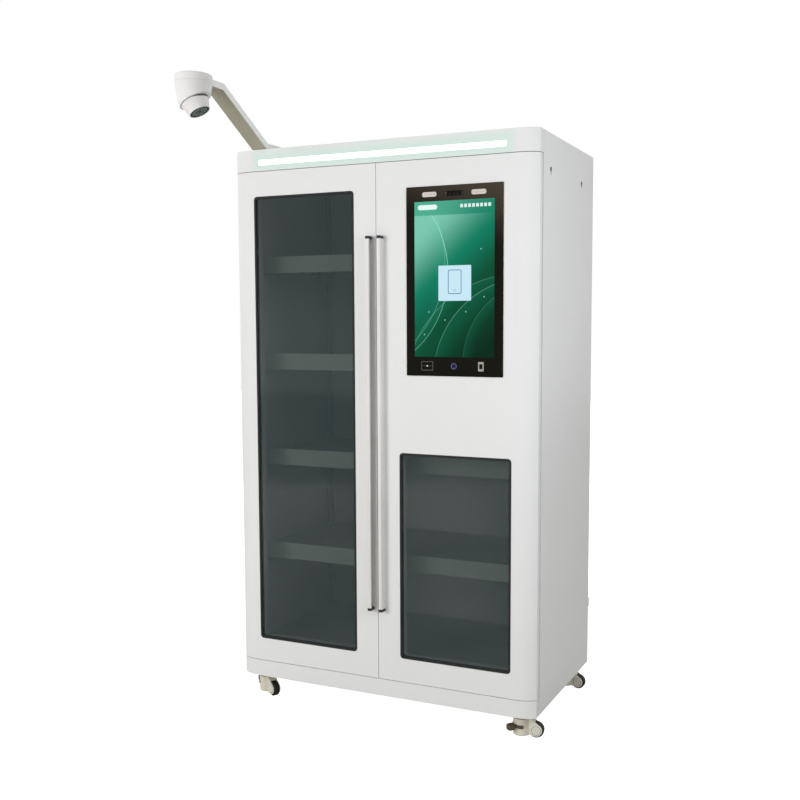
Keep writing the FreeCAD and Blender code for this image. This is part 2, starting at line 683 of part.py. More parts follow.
def shelf(label, level):
    """A full-width tray: raised front lip, sunk deck, turned-down sides and back."""
    part = body(label)
    top = f"(dims.caster_height + dims.first_lip + {level} * dims.shelf_pitch)"
    half = "fit.shelf_half"
    deck = f"{top} - dims.deck_drop"
    plate = sketch_on(part, "XY_Plane", deck)
    draw_box(plate, f"-{half}", "dims.shelf_front", half, "dims.shelf_back")
    pad(part, plate, "dims.skin", back=True)
    lip = sketch_on(part, "XZ_Plane", "-dims.shelf_front")
    draw_box(lip, f"-{half}", f"{top} - dims.lip_height", half, top)
    pad(part, lip, "dims.skin", back=True)
    fold = sketch_on(part, "XZ_Plane", "-dims.shelf_front")
    draw_box(fold, f"-{half}", f"{top} - dims.lip_height", half, f"{top} - dims.lip_height + dims.skin")
    pad(part, fold, "dims.shelf_hem", back=True)
    hem = sketch_on(part, "XZ_Plane", "-dims.shelf_back")
    draw_box(hem, f"-{half}", f"{deck} - dims.shelf_hem", half, deck)
    pad(part, hem, "dims.skin")
    return part


def shelf_uprights():
    """Two slotted uprights in the rear corners and two slotted strips on the liners in front."""
    pieces = []
    height = "(fit.roof_z - dims.skin - dims.roof_flange - fit.tray_top - dims.tray_height - 2)"
    low = "(fit.tray_top + dims.tray_height + 1)"
    for side in (-1, 1):
        part = doc.addObject("PartDesign::Body", "upright")
        place_by(part, ("0", "fit.front_y", "0"))
        angle = sketch_on(part, "XY_Plane", low)
        outer = "fit.half_width - dims.skin"
        inner = f"{outer} - dims.upright_width"
        back = "fit.back_face - dims.skin"
        front = f"{back} - dims.upright_width"

        def at(x, y):
            return signed(side, x), y

        draw(
            angle, at(outer, back), at(outer, f"{back} - dims.bracket_skin"),
            at(f"{inner} + dims.bracket_skin", f"{back} - dims.bracket_skin"),
            at(f"{inner} + dims.bracket_skin", front), at(inner, front), at(inner, back), at(outer, back),
        )
        pad(part, angle, height)
        slot = sketch_on(part, "YZ_Plane", signed(side, f"{inner} - 1"))
        middle = f"({back} - dims.upright_width / 2)"
        first = f"({low} + dims.upright_slot)"
        draw_box(
            slot, f"{middle} - dims.upright_slot_width / 2", first,
            f"{middle} + dims.upright_slot_width / 2", f"{first} + dims.upright_slot",
        )
        opening = pocket(part, slot, "dims.bracket_skin + 2", back=side > 0)
        repeat_along(part, opening, "Z_Axis", "dims.upright_slot_pitch", "20")
        pieces.append(part)
    return group("shelf_uprights", pieces)


def shelf_brackets():
    """Black angle brackets that carry each shelf at its four corners."""
    pieces = []
    for level in range(len(SHELVES)):
        top = f"dims.caster_height + dims.first_lip + {level} * dims.shelf_pitch"
        under = f"({top} - dims.deck_drop - dims.skin)"
        for side in (-1, 1):
            for front in ("dims.bracket_front", "(dims.liner_back - dims.bracket_length)"):
                face = "fit.liner_half"
                edge = f"-{face}" if side < 0 else f"{face} - dims.bracket_skin"
                wall = block("bracket_wall", edge, front, f"{under} - dims.bracket_height",
                             "dims.bracket_skin", "dims.bracket_length", "dims.bracket_height")
                edge = f"-{face}" if side < 0 else f"{face} - dims.bracket_ledge"
                ledge = block("bracket_ledge", edge, front, f"{under} - dims.bracket_skin",
                              "dims.bracket_ledge", "dims.bracket_length", "dims.bracket_skin")
                pieces.append(joined("bracket", [wall, ledge]))
    return group("shelf_brackets", pieces)


def door_pivots():
    """A plate inside each band with a collar in the gap and a pin up or down into the door."""
    pieces = []
    plate_depth = "2 * dims.pivot_inset"
    for side in (-1, 1):
        x = signed(side, "fit.pivot_x")
        width = "3 * dims.pivot_inset - dims.skin"
        left = f"{x} - 2 * dims.pivot_inset" if side > 0 else f"{x} - dims.pivot_inset + dims.skin"
        front = "fit.pivot_y - dims.pivot_inset"
        low_plate = "fit.door_bottom - dims.door_gap - dims.skin - dims.pivot_plate"
        reach = "(dims.pivot_plate + dims.skin + dims.door_gap + dims.pivot_depth)"
        collar = "dims.door_gap - 0.3"
        pieces.append(joined("low_pivot", [
            block("pivot_plate", left, front, low_plate, width, plate_depth, "dims.pivot_plate"),
            rod("pivot_pin", x, "fit.pivot_y", low_plate, "dims.pivot_radius", reach),
            rod("pivot_collar", x, "fit.pivot_y", "fit.door_bottom - dims.door_gap", "dims.collar_radius",
                collar),
        ]))
        high_plate = "fit.band_bottom + dims.skin"
        pieces.append(joined("high_pivot", [
            block("pivot_plate", left, front, high_plate, width, plate_depth, "dims.pivot_plate"),
            rod("pivot_pin", x, "fit.pivot_y", "fit.door_top - dims.pivot_depth", "dims.pivot_radius", reach),
            rod("pivot_collar", x, "fit.pivot_y", "fit.door_top + 0.3", "dims.collar_radius", collar),
        ]))
    return group("door_pivots", pieces)


def lock_housing():
    """The electric lock behind the top band, open below for its two bolts."""
    part = body("lock_housing")
    low = "fit.band_bottom + dims.skin"
    middle = "dims.front_depth / 2"
    box = sketch_on(part, "XY_Plane", low)
    half, half_depth = "dims.lock_width / 2", "dims.lock_depth / 2"
    draw_round_box(
        box, f"-{half}", f"{middle} - {half_depth}", half, f"{middle} + {half_depth}", "dims.lock_wall",
    )
    pad(part, box, "dims.lock_height")
    hollow = sketch_on(part, "XY_Plane", low)
    draw_box(
        hollow, f"-{half} + dims.lock_wall", f"{middle} - {half_depth} + dims.lock_wall",
        f"{half} - dims.lock_wall", f"{middle} + {half_depth} - dims.lock_wall",
    )
    pocket(part, hollow, "dims.lock_height - dims.lock_wall", back=True)
    return part


def lock_bolts():
    """Two bolts on one bar, so that both doors lock together; drawn up, which is unlocked."""
    part = body("lock_bolts")
    top = "(fit.band_bottom + dims.skin + dims.lock_height - dims.lock_wall - 0.3)"
    bar = sketch_on(part, "XY_Plane", top)
    half = "(dims.bolt_offset + dims.bolt_radius + 4)"
    middle = "dims.front_depth / 2"
    reach = "dims.bolt_radius + 2"
    draw_round_box(bar, f"-{half}", f"{middle} - ({reach})", half, f"{middle} + {reach}", "3")
    pad(part, bar, "dims.bolt_bar", back=True)
    for side in (-1, 1):
        shaft = sketch_on(part, "XY_Plane", "fit.band_bottom + 0.3")
        draw_circle(shaft, signed(side, "dims.bolt_offset"), middle, "dims.bolt_radius")
        pad(part, shaft, f"{top} - fit.band_bottom - 2")
    return part


def door(label, side, window_top, with_terminal):
    """A hollow folded door with a curved outer corner and a framed opening for each thing it holds."""
    part = body(label)
    corner, corner_end = front_corner(side)
    inner_edge = signed(side, "dims.door_gap / 2")
    rear = ("fit.pivot_y", "dims.pivot_inset")
    plan = sketch_on(part, "XY_Plane", "fit.door_bottom")
    draw(
        plan, (inner_edge, "0"), corner, corner_end, (corner_end[0], rear[0]),
        (signed(side, "fit.pivot_x"), "dims.front_depth", rear[1], side), (inner_edge, "dims.front_depth"),
        (inner_edge, "0"),
    )
    pad(part, plan, "fit.door_height")
    corner, corner_end = front_corner(side, "dims.skin")
    inner_edge = signed(side, "dims.door_gap / 2 + dims.skin")
    hollow = sketch_on(part, "XY_Plane", "fit.door_top - dims.skin")
    back = "dims.front_depth - dims.skin"
    draw(
        hollow, (inner_edge, "dims.skin"), corner, corner_end, (corner_end[0], rear[0]),
        (signed(side, "fit.pivot_x"), back, f"{rear[1]} - dims.skin", side), (inner_edge, back),
        (inner_edge, "dims.skin"),
    )
    pocket(part, hollow, "fit.door_height - 2 * dims.skin")
    openings = [window_box(side, window_top) + ("dims.window_corner",)]
    if with_terminal:
        openings.append(housing_box("dims.terminal_play") + ("dims.window_corner / 2",))
    for left, low, right, high, radius in openings:
        frame = sketch_on(part, "XZ_Plane", "-dims.skin / 2")
        draw_round_box(
            frame, f"{left} - dims.skin", f"{low} - dims.skin", f"{right} + dims.skin",
            f"{high} + dims.skin", f"({radius} + dims.skin)",
        )
        pad(part, frame, "dims.front_depth - dims.skin", back=True)
        opening = sketch_on(part, "XZ_Plane", "1")
        draw_round_box(opening, left, low, right, high, radius)
        pocket(part, opening, "dims.front_depth + 2")
    pivot_bushes(part, side)
    strike = sketch_on(part, "XY_Plane", "fit.door_top + 1")
    draw_circle(strike, signed(side, "dims.bolt_offset"), "dims.front_depth / 2", "fit.bolt_bore")
    pocket(part, strike, "dims.skin + 2")
    return part


def pivot_bushes(part, side):
    """A thick boss with a running bore at the bottom and the top of a door."""
    x = signed(side, "fit.pivot_x")
    for level, upward in (("fit.door_bottom + dims.skin / 2", True), ("fit.door_top - dims.skin / 2", False)):
        boss = sketch_on(part, "XY_Plane", level)
        draw_circle(boss, x, "fit.pivot_y", "dims.collar_radius")
        pad(part, boss, "dims.pivot_depth + 2", back=not upward)
    for level, upward in (("fit.door_bottom - 1", True), ("fit.door_top + 1", False)):
        bore = sketch_on(part, "XY_Plane", level)
        draw_circle(bore, x, "fit.pivot_y", "dims.pivot_radius + dims.pivot_play")
        pocket(part, bore, "dims.pivot_depth + dims.skin + 2", back=upward)


def window_box(side, top, grow="0"):
    """Left, low, right and high edge of a window opening, grown outwards by grow."""
    left = f"{side} * fit.window_middle - dims.window_width / 2 - ({grow})"
    right = f"{side} * fit.window_middle + dims.window_width / 2 + ({grow})"
    return left, f"fit.window_low - ({grow})", right, f"{top} + ({grow})"


def housing_box(grow="0"):
    """Left, low, right and high edge of the terminal housing, grown outwards by grow."""
    half = "fit.housing_width / 2"
    low = f"fit.terminal_low + dims.terminal_margin - ({grow})"
    high = f"fit.terminal_high - dims.terminal_margin + ({grow})"
    return f"fit.window_middle - {half} - ({grow})", low, f"fit.window_middle + {half} + ({grow})", high


def gasket(label, side, window_top):
    """A rubber frame with a groove that holds the glass."""
    part = body(label)
    outer = sketch_on(part, "XZ_Plane", "0.5")
    draw_round_box(outer, *window_box(side, window_top), "dims.window_corner")
    inside = "(dims.window_corner - dims.gasket_border / 2)"
    draw_round_box(outer, *window_box(side, window_top, "-dims.gasket_border"), inside)
    pad(part, outer, "dims.gasket_depth", back=True)
    groove = sketch_on(part, "XZ_Plane", "-dims.glass_setback")
    draw_round_box(groove, *glass_box(side, window_top), glass_corner())
    pocket(part, groove, "dims.glass_skin")
    return part


def glass_corner():
    return "(dims.window_corner - dims.gasket_border / 2)"


def glass_box(side, window_top):
    return window_box(side, window_top, "dims.glass_grip - dims.gasket_border")


def glass(label, side, window_top):
    part = body(label)
    pane = sketch_on(part, "XZ_Plane", "-dims.glass_setback")
    draw_round_box(pane, *glass_box(side, window_top), glass_corner())
    pad(part, pane, "dims.glass_skin", back=True)
    return part


def grip_outline(sketch, side):
    """The section of the handle profile: foot on the door, web, front and a hook behind the front."""
    far = f"dims.grip_inner + dims.grip_width"
    near, web = "dims.grip_inner", f"{far} - dims.grip_skin"

    def at(x, y):
        return signed(side, x), y

    depth = "dims.grip_depth"
    return draw(
        sketch, at(near, "0"), at(far, "0"), at(far, f"2 - {depth}"),
        at(f"{far} - 2", f"-{depth}") + ("2", -side), at(f"{near} + 1", f"-{depth}"),
        at(near, f"1 - {depth}") + ("1", -side), at(near, f"dims.grip_hook - {depth}"),
        at(f"{near} + dims.grip_skin - 0.7", f"dims.grip_hook - {depth}"),
        at(f"{near} + dims.grip_skin - 0.7", f"dims.grip_skin - {depth}"),
        at(web, f"dims.grip_skin - {depth}"),
        at(web, "-dims.grip_skin"), at(near, "-dims.grip_skin"), at(near, "0"),
    )


def grip(label, side):
    part = body(label)
    section = sketch_on(part, "XY_Plane", "dims.caster_height + dims.grip_bottom + dims.grip_cap")
    grip_outline(section, side)
    pad(part, section, "dims.grip_length - 2 * dims.grip_cap")
    return part


def grip_caps(label, side):
    pieces = []
    top = "dims.caster_height + dims.grip_bottom + dims.grip_length - dims.grip_cap"
    for low in ("dims.caster_height + dims.grip_bottom", top):
        part = doc.addObject("PartDesign::Body", "cap")
        place_by(part, ("0", "fit.front_y", "0"))
        plate = sketch_on(part, "XY_Plane", low)
        far = "dims.grip_inner + dims.grip_width"
        left, right = ("dims.grip_inner", far) if side > 0 else (f"-({far})", "-dims.grip_inner")
        draw_round_box(plate, left, "-dims.grip_depth", right, "0", "1.5")
        pad(part, plate, "dims.grip_cap")
        pieces.append(part)
    return group(label, pieces)


def terminal_glass():
    """The front glass of the terminal, with the opening that the display fills."""
    part = body("terminal_glass")
    half = "dims.terminal_width / 2"
    plate = sketch_on(part, "XZ_Plane", "0")
    draw_round_box(
        plate, f"fit.window_middle - {half}", "fit.terminal_low", f"fit.window_middle + {half}",
        "fit.terminal_high", "3",
    )
    draw_box(plate, *display_box())
    pad(part, plate, "dims.terminal_proud")
    return part


def display_box(grow="0"):
    half = "dims.display_width / 2"
    low = f"fit.display_low - ({grow})"
    high = f"fit.display_low + dims.display_height + ({grow})"
    return f"fit.window_middle - {half} - ({grow})", low, f"fit.window_middle + {half} + ({grow})", high


def terminal_display():
    part = body("terminal_display")
    face = sketch_on(part, "XZ_Plane", "dims.terminal_proud - dims.display_recess")
    draw_box(face, *display_box())
    pad(part, face, "dims.display_depth + dims.terminal_proud - dims.display_recess", back=True)
    frame = sketch_on(part, "XZ_Plane", "0")
    draw_box(frame, *display_box("dims.display_edge"))
    pad(part, frame, "dims.display_depth", back=True)
    return part


def terminal_housing():
    """The rear housing with the computer's vents, open towards the front glass."""
    part = body("terminal_housing")
    shell = sketch_on(part, "XZ_Plane", "0")
    draw_round_box(shell, *housing_box(), "dims.window_corner / 2")
    pad(part, shell, "dims.terminal_depth", back=True)
    hollow = sketch_on(part, "XZ_Plane", "1")
    corner = "(dims.window_corner / 2 - dims.terminal_skin)"
    draw_round_box(hollow, *housing_box("-dims.terminal_skin"), corner)
    pocket(part, hollow, "dims.terminal_depth - dims.terminal_skin + 1")
    slot = sketch_on(part, "XZ_Plane", "-dims.terminal_depth - 1")
    half = "dims.vent_width / 2"
    low = "(fit.terminal_high - dims.terminal_margin - dims.vent_count * dims.vent_pitch - 20)"
    draw_round_box(
        slot, f"fit.window_middle - {half}", low, f"fit.window_middle + {half}",
        f"{low} + dims.vent_height", "dims.vent_height / 2.5",
    )
    opening = pocket(part, slot, "dims.terminal_skin + 2", back=True)
    repeat_along(part, opening, "Z_Axis", "dims.vent_pitch", "dims.vent_count")
    return part


def front_trim(name, middle, level, width, height, radius):
    """A small raised piece on the front glass."""
    part = doc.addObject("PartDesign::Body", name)
    place_by(part, ("0", "fit.front_y", "0"))
    face = sketch_on(part, "XZ_Plane", "dims.terminal_proud")
    draw_round_box(
        face, f"{middle} - {width} / 2", f"{level} - {height} / 2", f"{middle} + {width} / 2",
        f"{level} + {height} / 2", radius,
    )
    pad(part, face, "dims.trim_proud")
    return part


def terminal_lamps():
    pieces = []
    for side in (-1, 1):
        middle = f"(fit.window_middle + {side} * dims.lamp_offset)"
        size = ("dims.lamp_width", "dims.lamp_height", "dims.lamp_height / 2.2")
        pieces.append(front_trim("lamp", middle, "fit.lamp_z", *size))
    return group("terminal_lamps", pieces)


def terminal_windows():
    """The sensor window above the display, and the card, face and code readers below it."""
    size = ("dims.sensor_width", "dims.lamp_height", "2")
    pieces = [front_trim("sensor", "fit.window_middle", "fit.lamp_z", *size)]
    for side, width in ((-1, "dims.card_width"), (1, "dims.scanner_width")):
        middle = f"(fit.window_middle + {side} * dims.reader_offset)"
        pieces.append(front_trim("reader", middle, "fit.reader_z", width, "dims.reader_height", "1.5"))
    part = doc.addObject("PartDesign::Body", "round_reader")
    place_by(part, ("0", "fit.front_y", "0"))
    disc = sketch_on(part, "XZ_Plane", "dims.terminal_proud")
    draw_circle(disc, "fit.window_middle", "fit.reader_z", "dims.reader_radius")
    pad(part, disc, "dims.trim_proud")
    pieces.append(part)
    return group("terminal_windows", pieces)


def camera_arm():
    """A flat bar: foot on the roof, rising run and level head, cut round to seat against the cap."""
    part = body("camera_arm", place=("fit.camera_x", "fit.front_y", "0"))
    roof, skin, bend = "fit.roof_z", "dims.arm_skin", "fit.arm_bend"
    low, head = "fit.cap_low", "-dims.arm_head"
    side = sketch_on(part, "YZ_Plane", "0")
    draw(
        side, ("dims.arm_start", roof), ("dims.arm_foot", roof), ("dims.arm_foot", f"{roof} + {skin}"),
        (f"dims.arm_start + {bend}", f"{roof} + {skin}"), (f"{head} + {bend}", f"{low} + {skin}"),
        ("-dims.camera_ahead", f"{low} + {skin}"), ("-dims.camera_ahead", low), (head, low),
        ("dims.arm_start", roof),
    )
    pad(part, side, "dims.arm_width", both=True)
    seat = sketch_on(part, "XY_Plane", "fit.cap_low - 1")
    draw_circle(seat, "0", "-dims.camera_ahead", "dims.cap_radius")
    pocket(part, seat, "dims.cap_height + 2", back=True)
    return part


def camera_cap():
    """The round cap that carries the camera, hollow below, its top edge rounded."""
    part = body("camera_cap", place=("fit.camera_x", "fit.front_y - dims.camera_ahead", "0"))
    profile = sketch_on(part, "XZ_Plane", "0")
    radius, low, high = "dims.cap_radius", "fit.cap_low", "fit.cap_low + dims.cap_height"
    draw(
        profile, ("0", f"{low} + 4"), (f"{radius} - 16", f"{low} + 4"), (f"{radius} - 16", low),
        (radius, low),
        (radius, f"{high} - dims.cap_round"), (f"{radius} - dims.cap_round", high, "dims.cap_round", 1),
        ("0", high), ("0", f"{low} + 4"),
    )
    revolve(part, profile)
    return part


def revolve(part, profile, kind="Revolution"):
    """A full turn of the profile about the body's z axis."""
    item = part.newObject("PartDesign::" + kind, kind.lower())
    item.Profile = profile
    item.ReferenceAxis = (next(f for f in part.Origin.OriginFeatures if f.Role == "Z_Axis"), [""])
    item.Angle = 360
    doc.recompute()
    return item


def eye_cutter(name, near, far):
    """A wide disc across the lens axis, from near to far below the eyeball's centre."""
    item = doc.addObject("Part::Cylinder", name)
    item.setExpression("Radius", "2 * fit.turret_radius")
    item.setExpression("Height", f"{far} - {near}")
    lean(item, near)
    return item


def lean(item, near="0"):
    """Places a solid so that its z axis lies on the lens axis, near millimetres from the eye's centre."""
    item.Placement = Placement(Vector(), LENS_ROTATION)
    down = "cos(dims.lens_tilt)"
    out = "sin(dims.lens_tilt)"
    item.setExpression("Placement.Base.x", f"fit.camera_x + ({near}) * {out} * cos(dims.lens_turn)")
    ahead = "fit.front_y - dims.camera_ahead"
    item.setExpression("Placement.Base.y", f"{ahead} + ({near}) * {out} * sin(dims.lens_turn)")
    item.setExpression("Placement.Base.z", f"fit.eye_z - ({near}) * {down}")
    return item


LENS_ROTATION = Rotation(Vector(0, 0, 1), value("dims.lens_turn")) * Rotation(
    Vector(0, 1, 0), 180 - value("dims.lens_tilt")
)


def camera_turret():
    """A blunt cone that rounds into a ball, cut square to the lens axis, hollowed for the eyeball."""
    part = doc.addObject("PartDesign::Body", "turret_body")
    place_by(part, ("fit.camera_x", "fit.front_y - dims.camera_ahead", "fit.eye_z"))
    profile = sketch_on(part, "XZ_Plane", "0")
    top = "dims.turret_drop - dims.turret_gap"
    touch_x = "fit.turret_radius * cos(fit.turret_angle)"
    touch_z = "fit.turret_radius * sin(fit.turret_angle)"
    draw(
        profile, ("0", "-fit.turret_radius"), (touch_x, touch_z, "fit.turret_radius", 1),
        ("dims.turret_top", top), ("0", top), ("0", "-fit.turret_radius"),
    )
    revolve(part, profile)
    hollow = doc.addObject("Part::Sphere", "eye_space")
    hollow.setExpression("Radius", "dims.eye_radius + dims.eye_play")
    place_by(hollow, ("fit.camera_x", "fit.front_y - dims.camera_ahead", "fit.eye_z"))
    shell = cut_out("turret_shell", part, hollow)
    rim = cut_out("turret_rim", shell, eye_cutter("rim_cut", "dims.eye_rim", "3 * fit.turret_radius"))
    turret = cut_out("camera_turret", rim, pin_bore())
    turret.Label = "camera_turret"
    nodes.append(turret)
    return turret


def pin_bore():
    """The blind bores on both sides of the turret for the tilt pins, as one rod along the tilt axis."""
    item = doc.addObject("Part::Cylinder", "pin_bore")
    reach = "(fit.pin_reach + 0.2)"
    item.setExpression("Radius", "dims.tilt_pin + dims.tilt_pin_play")
    item.setExpression("Height", f"2 * {reach}")
    item.Placement = Placement(Vector(), LENS_ROTATION * Rotation(Vector(1, 0, 0), 90))
    item.setExpression("Placement.Base.x", f"fit.camera_x - {reach} * sin(dims.lens_turn)")
    item.setExpression("Placement.Base.y", f"fit.front_y - dims.camera_ahead + {reach} * cos(dims.lens_turn)")
    item.setExpression("Placement.Base.z", "fit.eye_z")
    return item


def camera_eyeball():
    """The ball in the turret on its two tilt pins, with a nose that narrows to the lens."""
    part = node("camera_eyeball", "PartDesign::Body")
    lean_body(part)
    profile = sketch_on(part, "XZ_Plane", "0")
    radius, neck = "dims.eye_radius", "dims.eye_neck"
    draw(
        profile, ("0", f"-{radius}"), (radius, "0", radius, 1), ("fit.neck_radius", neck, radius, 1),
        ("dims.nose_radius", "dims.eye_nose"), ("dims.lens_radius", "dims.eye_nose"),
        ("dims.lens_radius", "dims.eye_nose - dims.lens_depth"), ("0", "dims.eye_nose - dims.lens_depth"),
        ("0", f"-{radius}"),
    )
    revolve(part, profile)
    pins = sketch_on(part, "XZ_Plane", "0")
    draw_circle(pins, "0", "0", "dims.tilt_pin")
    pad(part, pins, "2 * fit.pin_reach", both=True)
    return part


def lean_body(part):
    for axis in "xyz":
        part.setExpression(f"Placement.Base.{axis}", None)
    lean(part)


def camera_lens():
    part = node("camera_lens", "PartDesign::Body")
    lean_body(part)
    disc = sketch_on(part, "XY_Plane", "dims.eye_nose - dims.lens_depth")
    draw_circle(disc, "0", "0", "dims.lens_radius")
    pad(part, disc, "dims.lens_depth - 1")
    return part


def caster_place(side, depth):
    return signed(side, "fit.caster_x"), f"fit.front_y + {depth}", "0"


def caster_plates():
    """Top plate, swivel race and swivel pin of each caster, bolted under the chassis tray."""
    pieces = []
    for _, side, depth, _, _ in CASTERS:
        x = signed(side, "fit.caster_x")
        half = "dims.plate_size / 2"
        plate = block("plate", f"{x} - {half}", f"{depth} - {half}", "dims.caster_height - dims.plate_skin",
                      "dims.plate_size", "dims.plate_size", "dims.plate_skin")
        race = rod("race", x, depth, "fit.race_low", "dims.race_radius", "dims.race_height")
        pin = rod("kingpin", x, depth, "fit.can_top - dims.kingpin_depth", "dims.kingpin_radius",
                  "dims.kingpin_depth + dims.race_gap")
        pieces.append(joined("caster_plate", [plate, race, pin]))
    return group("caster_plates", pieces)


def caster_housing(label, place, turn):
    """A round can with two cheeks that hold the wheel's axle, grooved for the ratchet ring."""
    part = body(label, place, turn)
    can = sketch_on(part, "XZ_Plane", "0")
    wide, low, bend = "dims.can_radius", "dims.can_clearance", "dims.can_round"
    draw(
        can, ("0", low), (f"{wide} - {bend}", low), (wide, f"{low} + {bend}", bend, 1),
        (wide, "fit.can_top"), ("0", "fit.can_top"), ("0", low),
    )
    revolve(part, can)
    groove = sketch_on(part, "XY_Plane", "dims.ring_rise - dims.ring_play")
    draw_circle(groove, "0", "0", "dims.can_radius + 1")
    draw_circle(groove, "0", "0", "dims.can_radius - dims.ring_groove")
    pocket(part, groove, "dims.ring_height + 2 * dims.ring_play", back=True)
    cheek = sketch_on(part, "XZ_Plane", "0")
    radius, axle, level = "dims.cheek_radius", "dims.trail", "dims.wheel_radius"

    def round_axle(angle):
        return f"{axle} + {radius} * cos({angle})", f"{level} + {radius} * sin({angle})"

    draw(
        cheek, ("0", "dims.can_clearance + 4"), ("dims.can_radius * 0.7", "dims.can_clearance + 4"),
        round_axle(FORK_END_ANGLE), (f"{axle} + {radius}", level, radius, 1),
        round_axle(FORK_TOP_ANGLE) + (radius, 1),
        ("dims.can_radius + 3", "fit.can_top"), ("0", "fit.can_top"), ("0", "dims.can_clearance + 4"),
    )
    pad(part, cheek, "2 * fit.fork_outer", both=True)
    caps = sketch_on(part, "XZ_Plane", "0")
    draw_circle(caps, axle, level, "dims.axle_cap")
    pad(part, caps, "2 * (fit.fork_outer + dims.axle_cap_proud)", both=True)
    slot = sketch_on(part, "XZ_Plane", "0")
    draw_circle(slot, axle, level, "dims.wheel_radius + dims.wheel_gap")
    pocket(part, slot, "2 * fit.fork_inner", both=True)
    axle_rod = sketch_on(part, "XZ_Plane", "0")
    draw_circle(axle_rod, axle, level, "dims.axle_radius")
    pad(part, axle_rod, "2 * fit.fork_outer", both=True)
    foot = sketch_on(part, "XY_Plane", "dims.can_clearance - 1")
    draw_circle(foot, "0", "0", "fit.foot_bore")
    pocket(part, foot, "dims.foot_pocket + 1", back=True)
    stem = sketch_on(part, "XY_Plane", "dims.can_clearance")
    draw_circle(stem, "0", "0", "fit.stem_bore")
    pocket(part, stem, "dims.stem_length + dims.foot_skin + 3", back=True)
    bore = sketch_on(part, "XY_Plane", "fit.can_top + 1")
    draw_circle(bore, "0", "0", "dims.kingpin_radius + dims.axle_play")
    pocket(part, bore, "dims.kingpin_depth + 1.3")
    return part


def wheel_ring(label, place, turn, outer, inner, width, crown):
    """A ring about the wheel's axle, its outer edges rounded by crown."""
    part = body(label, place, turn)
    ring = sketch_on(part, "XZ_Plane", "0")
    draw_circle(ring, "dims.trail", "dims.wheel_radius", outer)
    draw_circle(ring, "dims.trail", "dims.wheel_radius", inner)
    pad(part, ring, width, both=True)
    edge_radius = value(outer)
    rims = []
    for number, edge in enumerate(part.Shape.Edges, 1):
        if hasattr(edge.Curve, "Radius") and abs(edge.Curve.Radius - edge_radius) < 0.01:
            rims.append(f"Edge{number}")
    ring_pad = part.Tip
    rounding = part.newObject("PartDesign::Fillet", "crown")
    rounding.Base = (ring_pad, rims)
    rounding.setExpression("Radius", crown)
    doc.recompute()
    return part


def caster_foot(label, place, turn):
    """The round levelling foot on its screwed stem, drawn up clear of the floor."""
    part = body(label, place, turn)
    pad_disc = sketch_on(part, "XY_Plane", "dims.foot_rise")
    draw_circle(pad_disc, "0", "0", "dims.foot_radius")
    pad(part, pad_disc, "dims.foot_skin")
    stem = sketch_on(part, "XY_Plane", "dims.foot_rise + dims.foot_skin")
    draw_circle(stem, "0", "0", "dims.stem_radius")
    pad(part, stem, "dims.stem_length")
    return part


def caster_lever(label, place, turn):
    """An open ring in the can's groove with a lever that points away from the wheel."""
    part = body(label, place, turn)
    ring = sketch_on(part, "XY_Plane", "dims.ring_rise")
    start, end = 90 + RING_START, 90 + RING_END

    def on(radius, angle):
        return f"{radius} * cos({angle})", f"{radius} * sin({angle})"

    outer, inner = "fit.ring_outer", "fit.ring_inner"
    middle = (start + end) / 2
    draw(
        ring, on(outer, start), on(outer, middle) + (outer, 1), on(outer, end) + (outer, 1),
        on(inner, end), on(inner, middle) + (inner, -1), on(inner, start) + (inner, -1),
        on(outer, start),
    )
    pad(part, ring, "dims.ring_height")
    handle = sketch_on(part, "XY_Plane", "dims.ring_rise + 1")
    half = "dims.lever_width / 2"
    tip = "(dims.lever_reach - dims.lever_width / 2)"
    draw(
        handle, (f"-{half}", f"{inner} + 1"), (half, f"{inner} + 1"), (f"{half}", tip),
        ("0", "dims.lever_reach", half, 1), (f"-{half}", tip, half, 1), (f"-{half}", f"{inner} + 1"),
    )
    pad(part, handle, "dims.ring_height - 2")
    return part


def build():
    side_panel("left_side_panel", -1)
    side_panel("right_side_panel", 1)
    back_panel()
    roof_panel()
    chassis_tray()
    top_band()
    bottom_band()
    status_light_cover()
    for level, label in enumerate(SHELVES):
        shelf(label, level)
    shelf_uprights()
    shelf_brackets()
    door_pivots()
    lock_housing()
    lock_bolts()
    power_inlet()
    for hand, side, top in (("left", -1, "fit.window_high"), ("right", 1, "fit.low_window_high")):
        door(f"{hand}_door", side, top, side > 0)
        gasket(f"{hand}_door_gasket", side, top)
        glass(f"{hand}_door_glass", side, top)
        grip(f"{hand}_grip", side)
        grip_caps(f"{hand}_grip_caps", side)
    terminal_glass()
    terminal_display()
    terminal_housing()
    terminal_lamps()
    terminal_windows()
    camera_arm()
    camera_cap()
    camera_turret()
    camera_eyeball()
    camera_lens()
    caster_plates()
    for name, side, depth, trail, lever in CASTERS:
        place = caster_place(side, depth)
        turn = str(trail)
        caster_housing(f"{name}_caster", place, turn)
        wheel_ring(f"{name}_tyre", place, turn, "dims.wheel_radius", "dims.hub_radius",
                   "dims.wheel_width", "4")
        wheel_ring(f"{name}_hub", place, turn, "dims.hub_radius", "dims.axle_radius + dims.axle_play",
                   "dims.wheel_width", "1")
        caster_foot(f"{name}_foot", place, turn)
        caster_lever(f"{name}_lever", place, f"{trail} + {lever} - 90")


def write_parts():
    """Checks every object, then writes one file for each node."""
    doc.recompute()
    for item in doc.Objects:
        if any(state in ("Invalid", "Error") for state in item.State):
            raise RuntimeError(f"{item.Label} failed: {item.State}")
    for item in nodes:
        if item.Shape.isNull() or not item.Shape.isValid() or not item.Shape.Solids:
            raise RuntimeError(f"{item.Label} has no valid shape")
    os.makedirs("parts", exist_ok=True)
    for item in nodes:
        item.Shape.exportStep(f"parts/{item.Label}.step")
    print(len(nodes), "nodes,", sum(len(item.Shape.Solids) for item in nodes), "solids")


build()
write_parts()
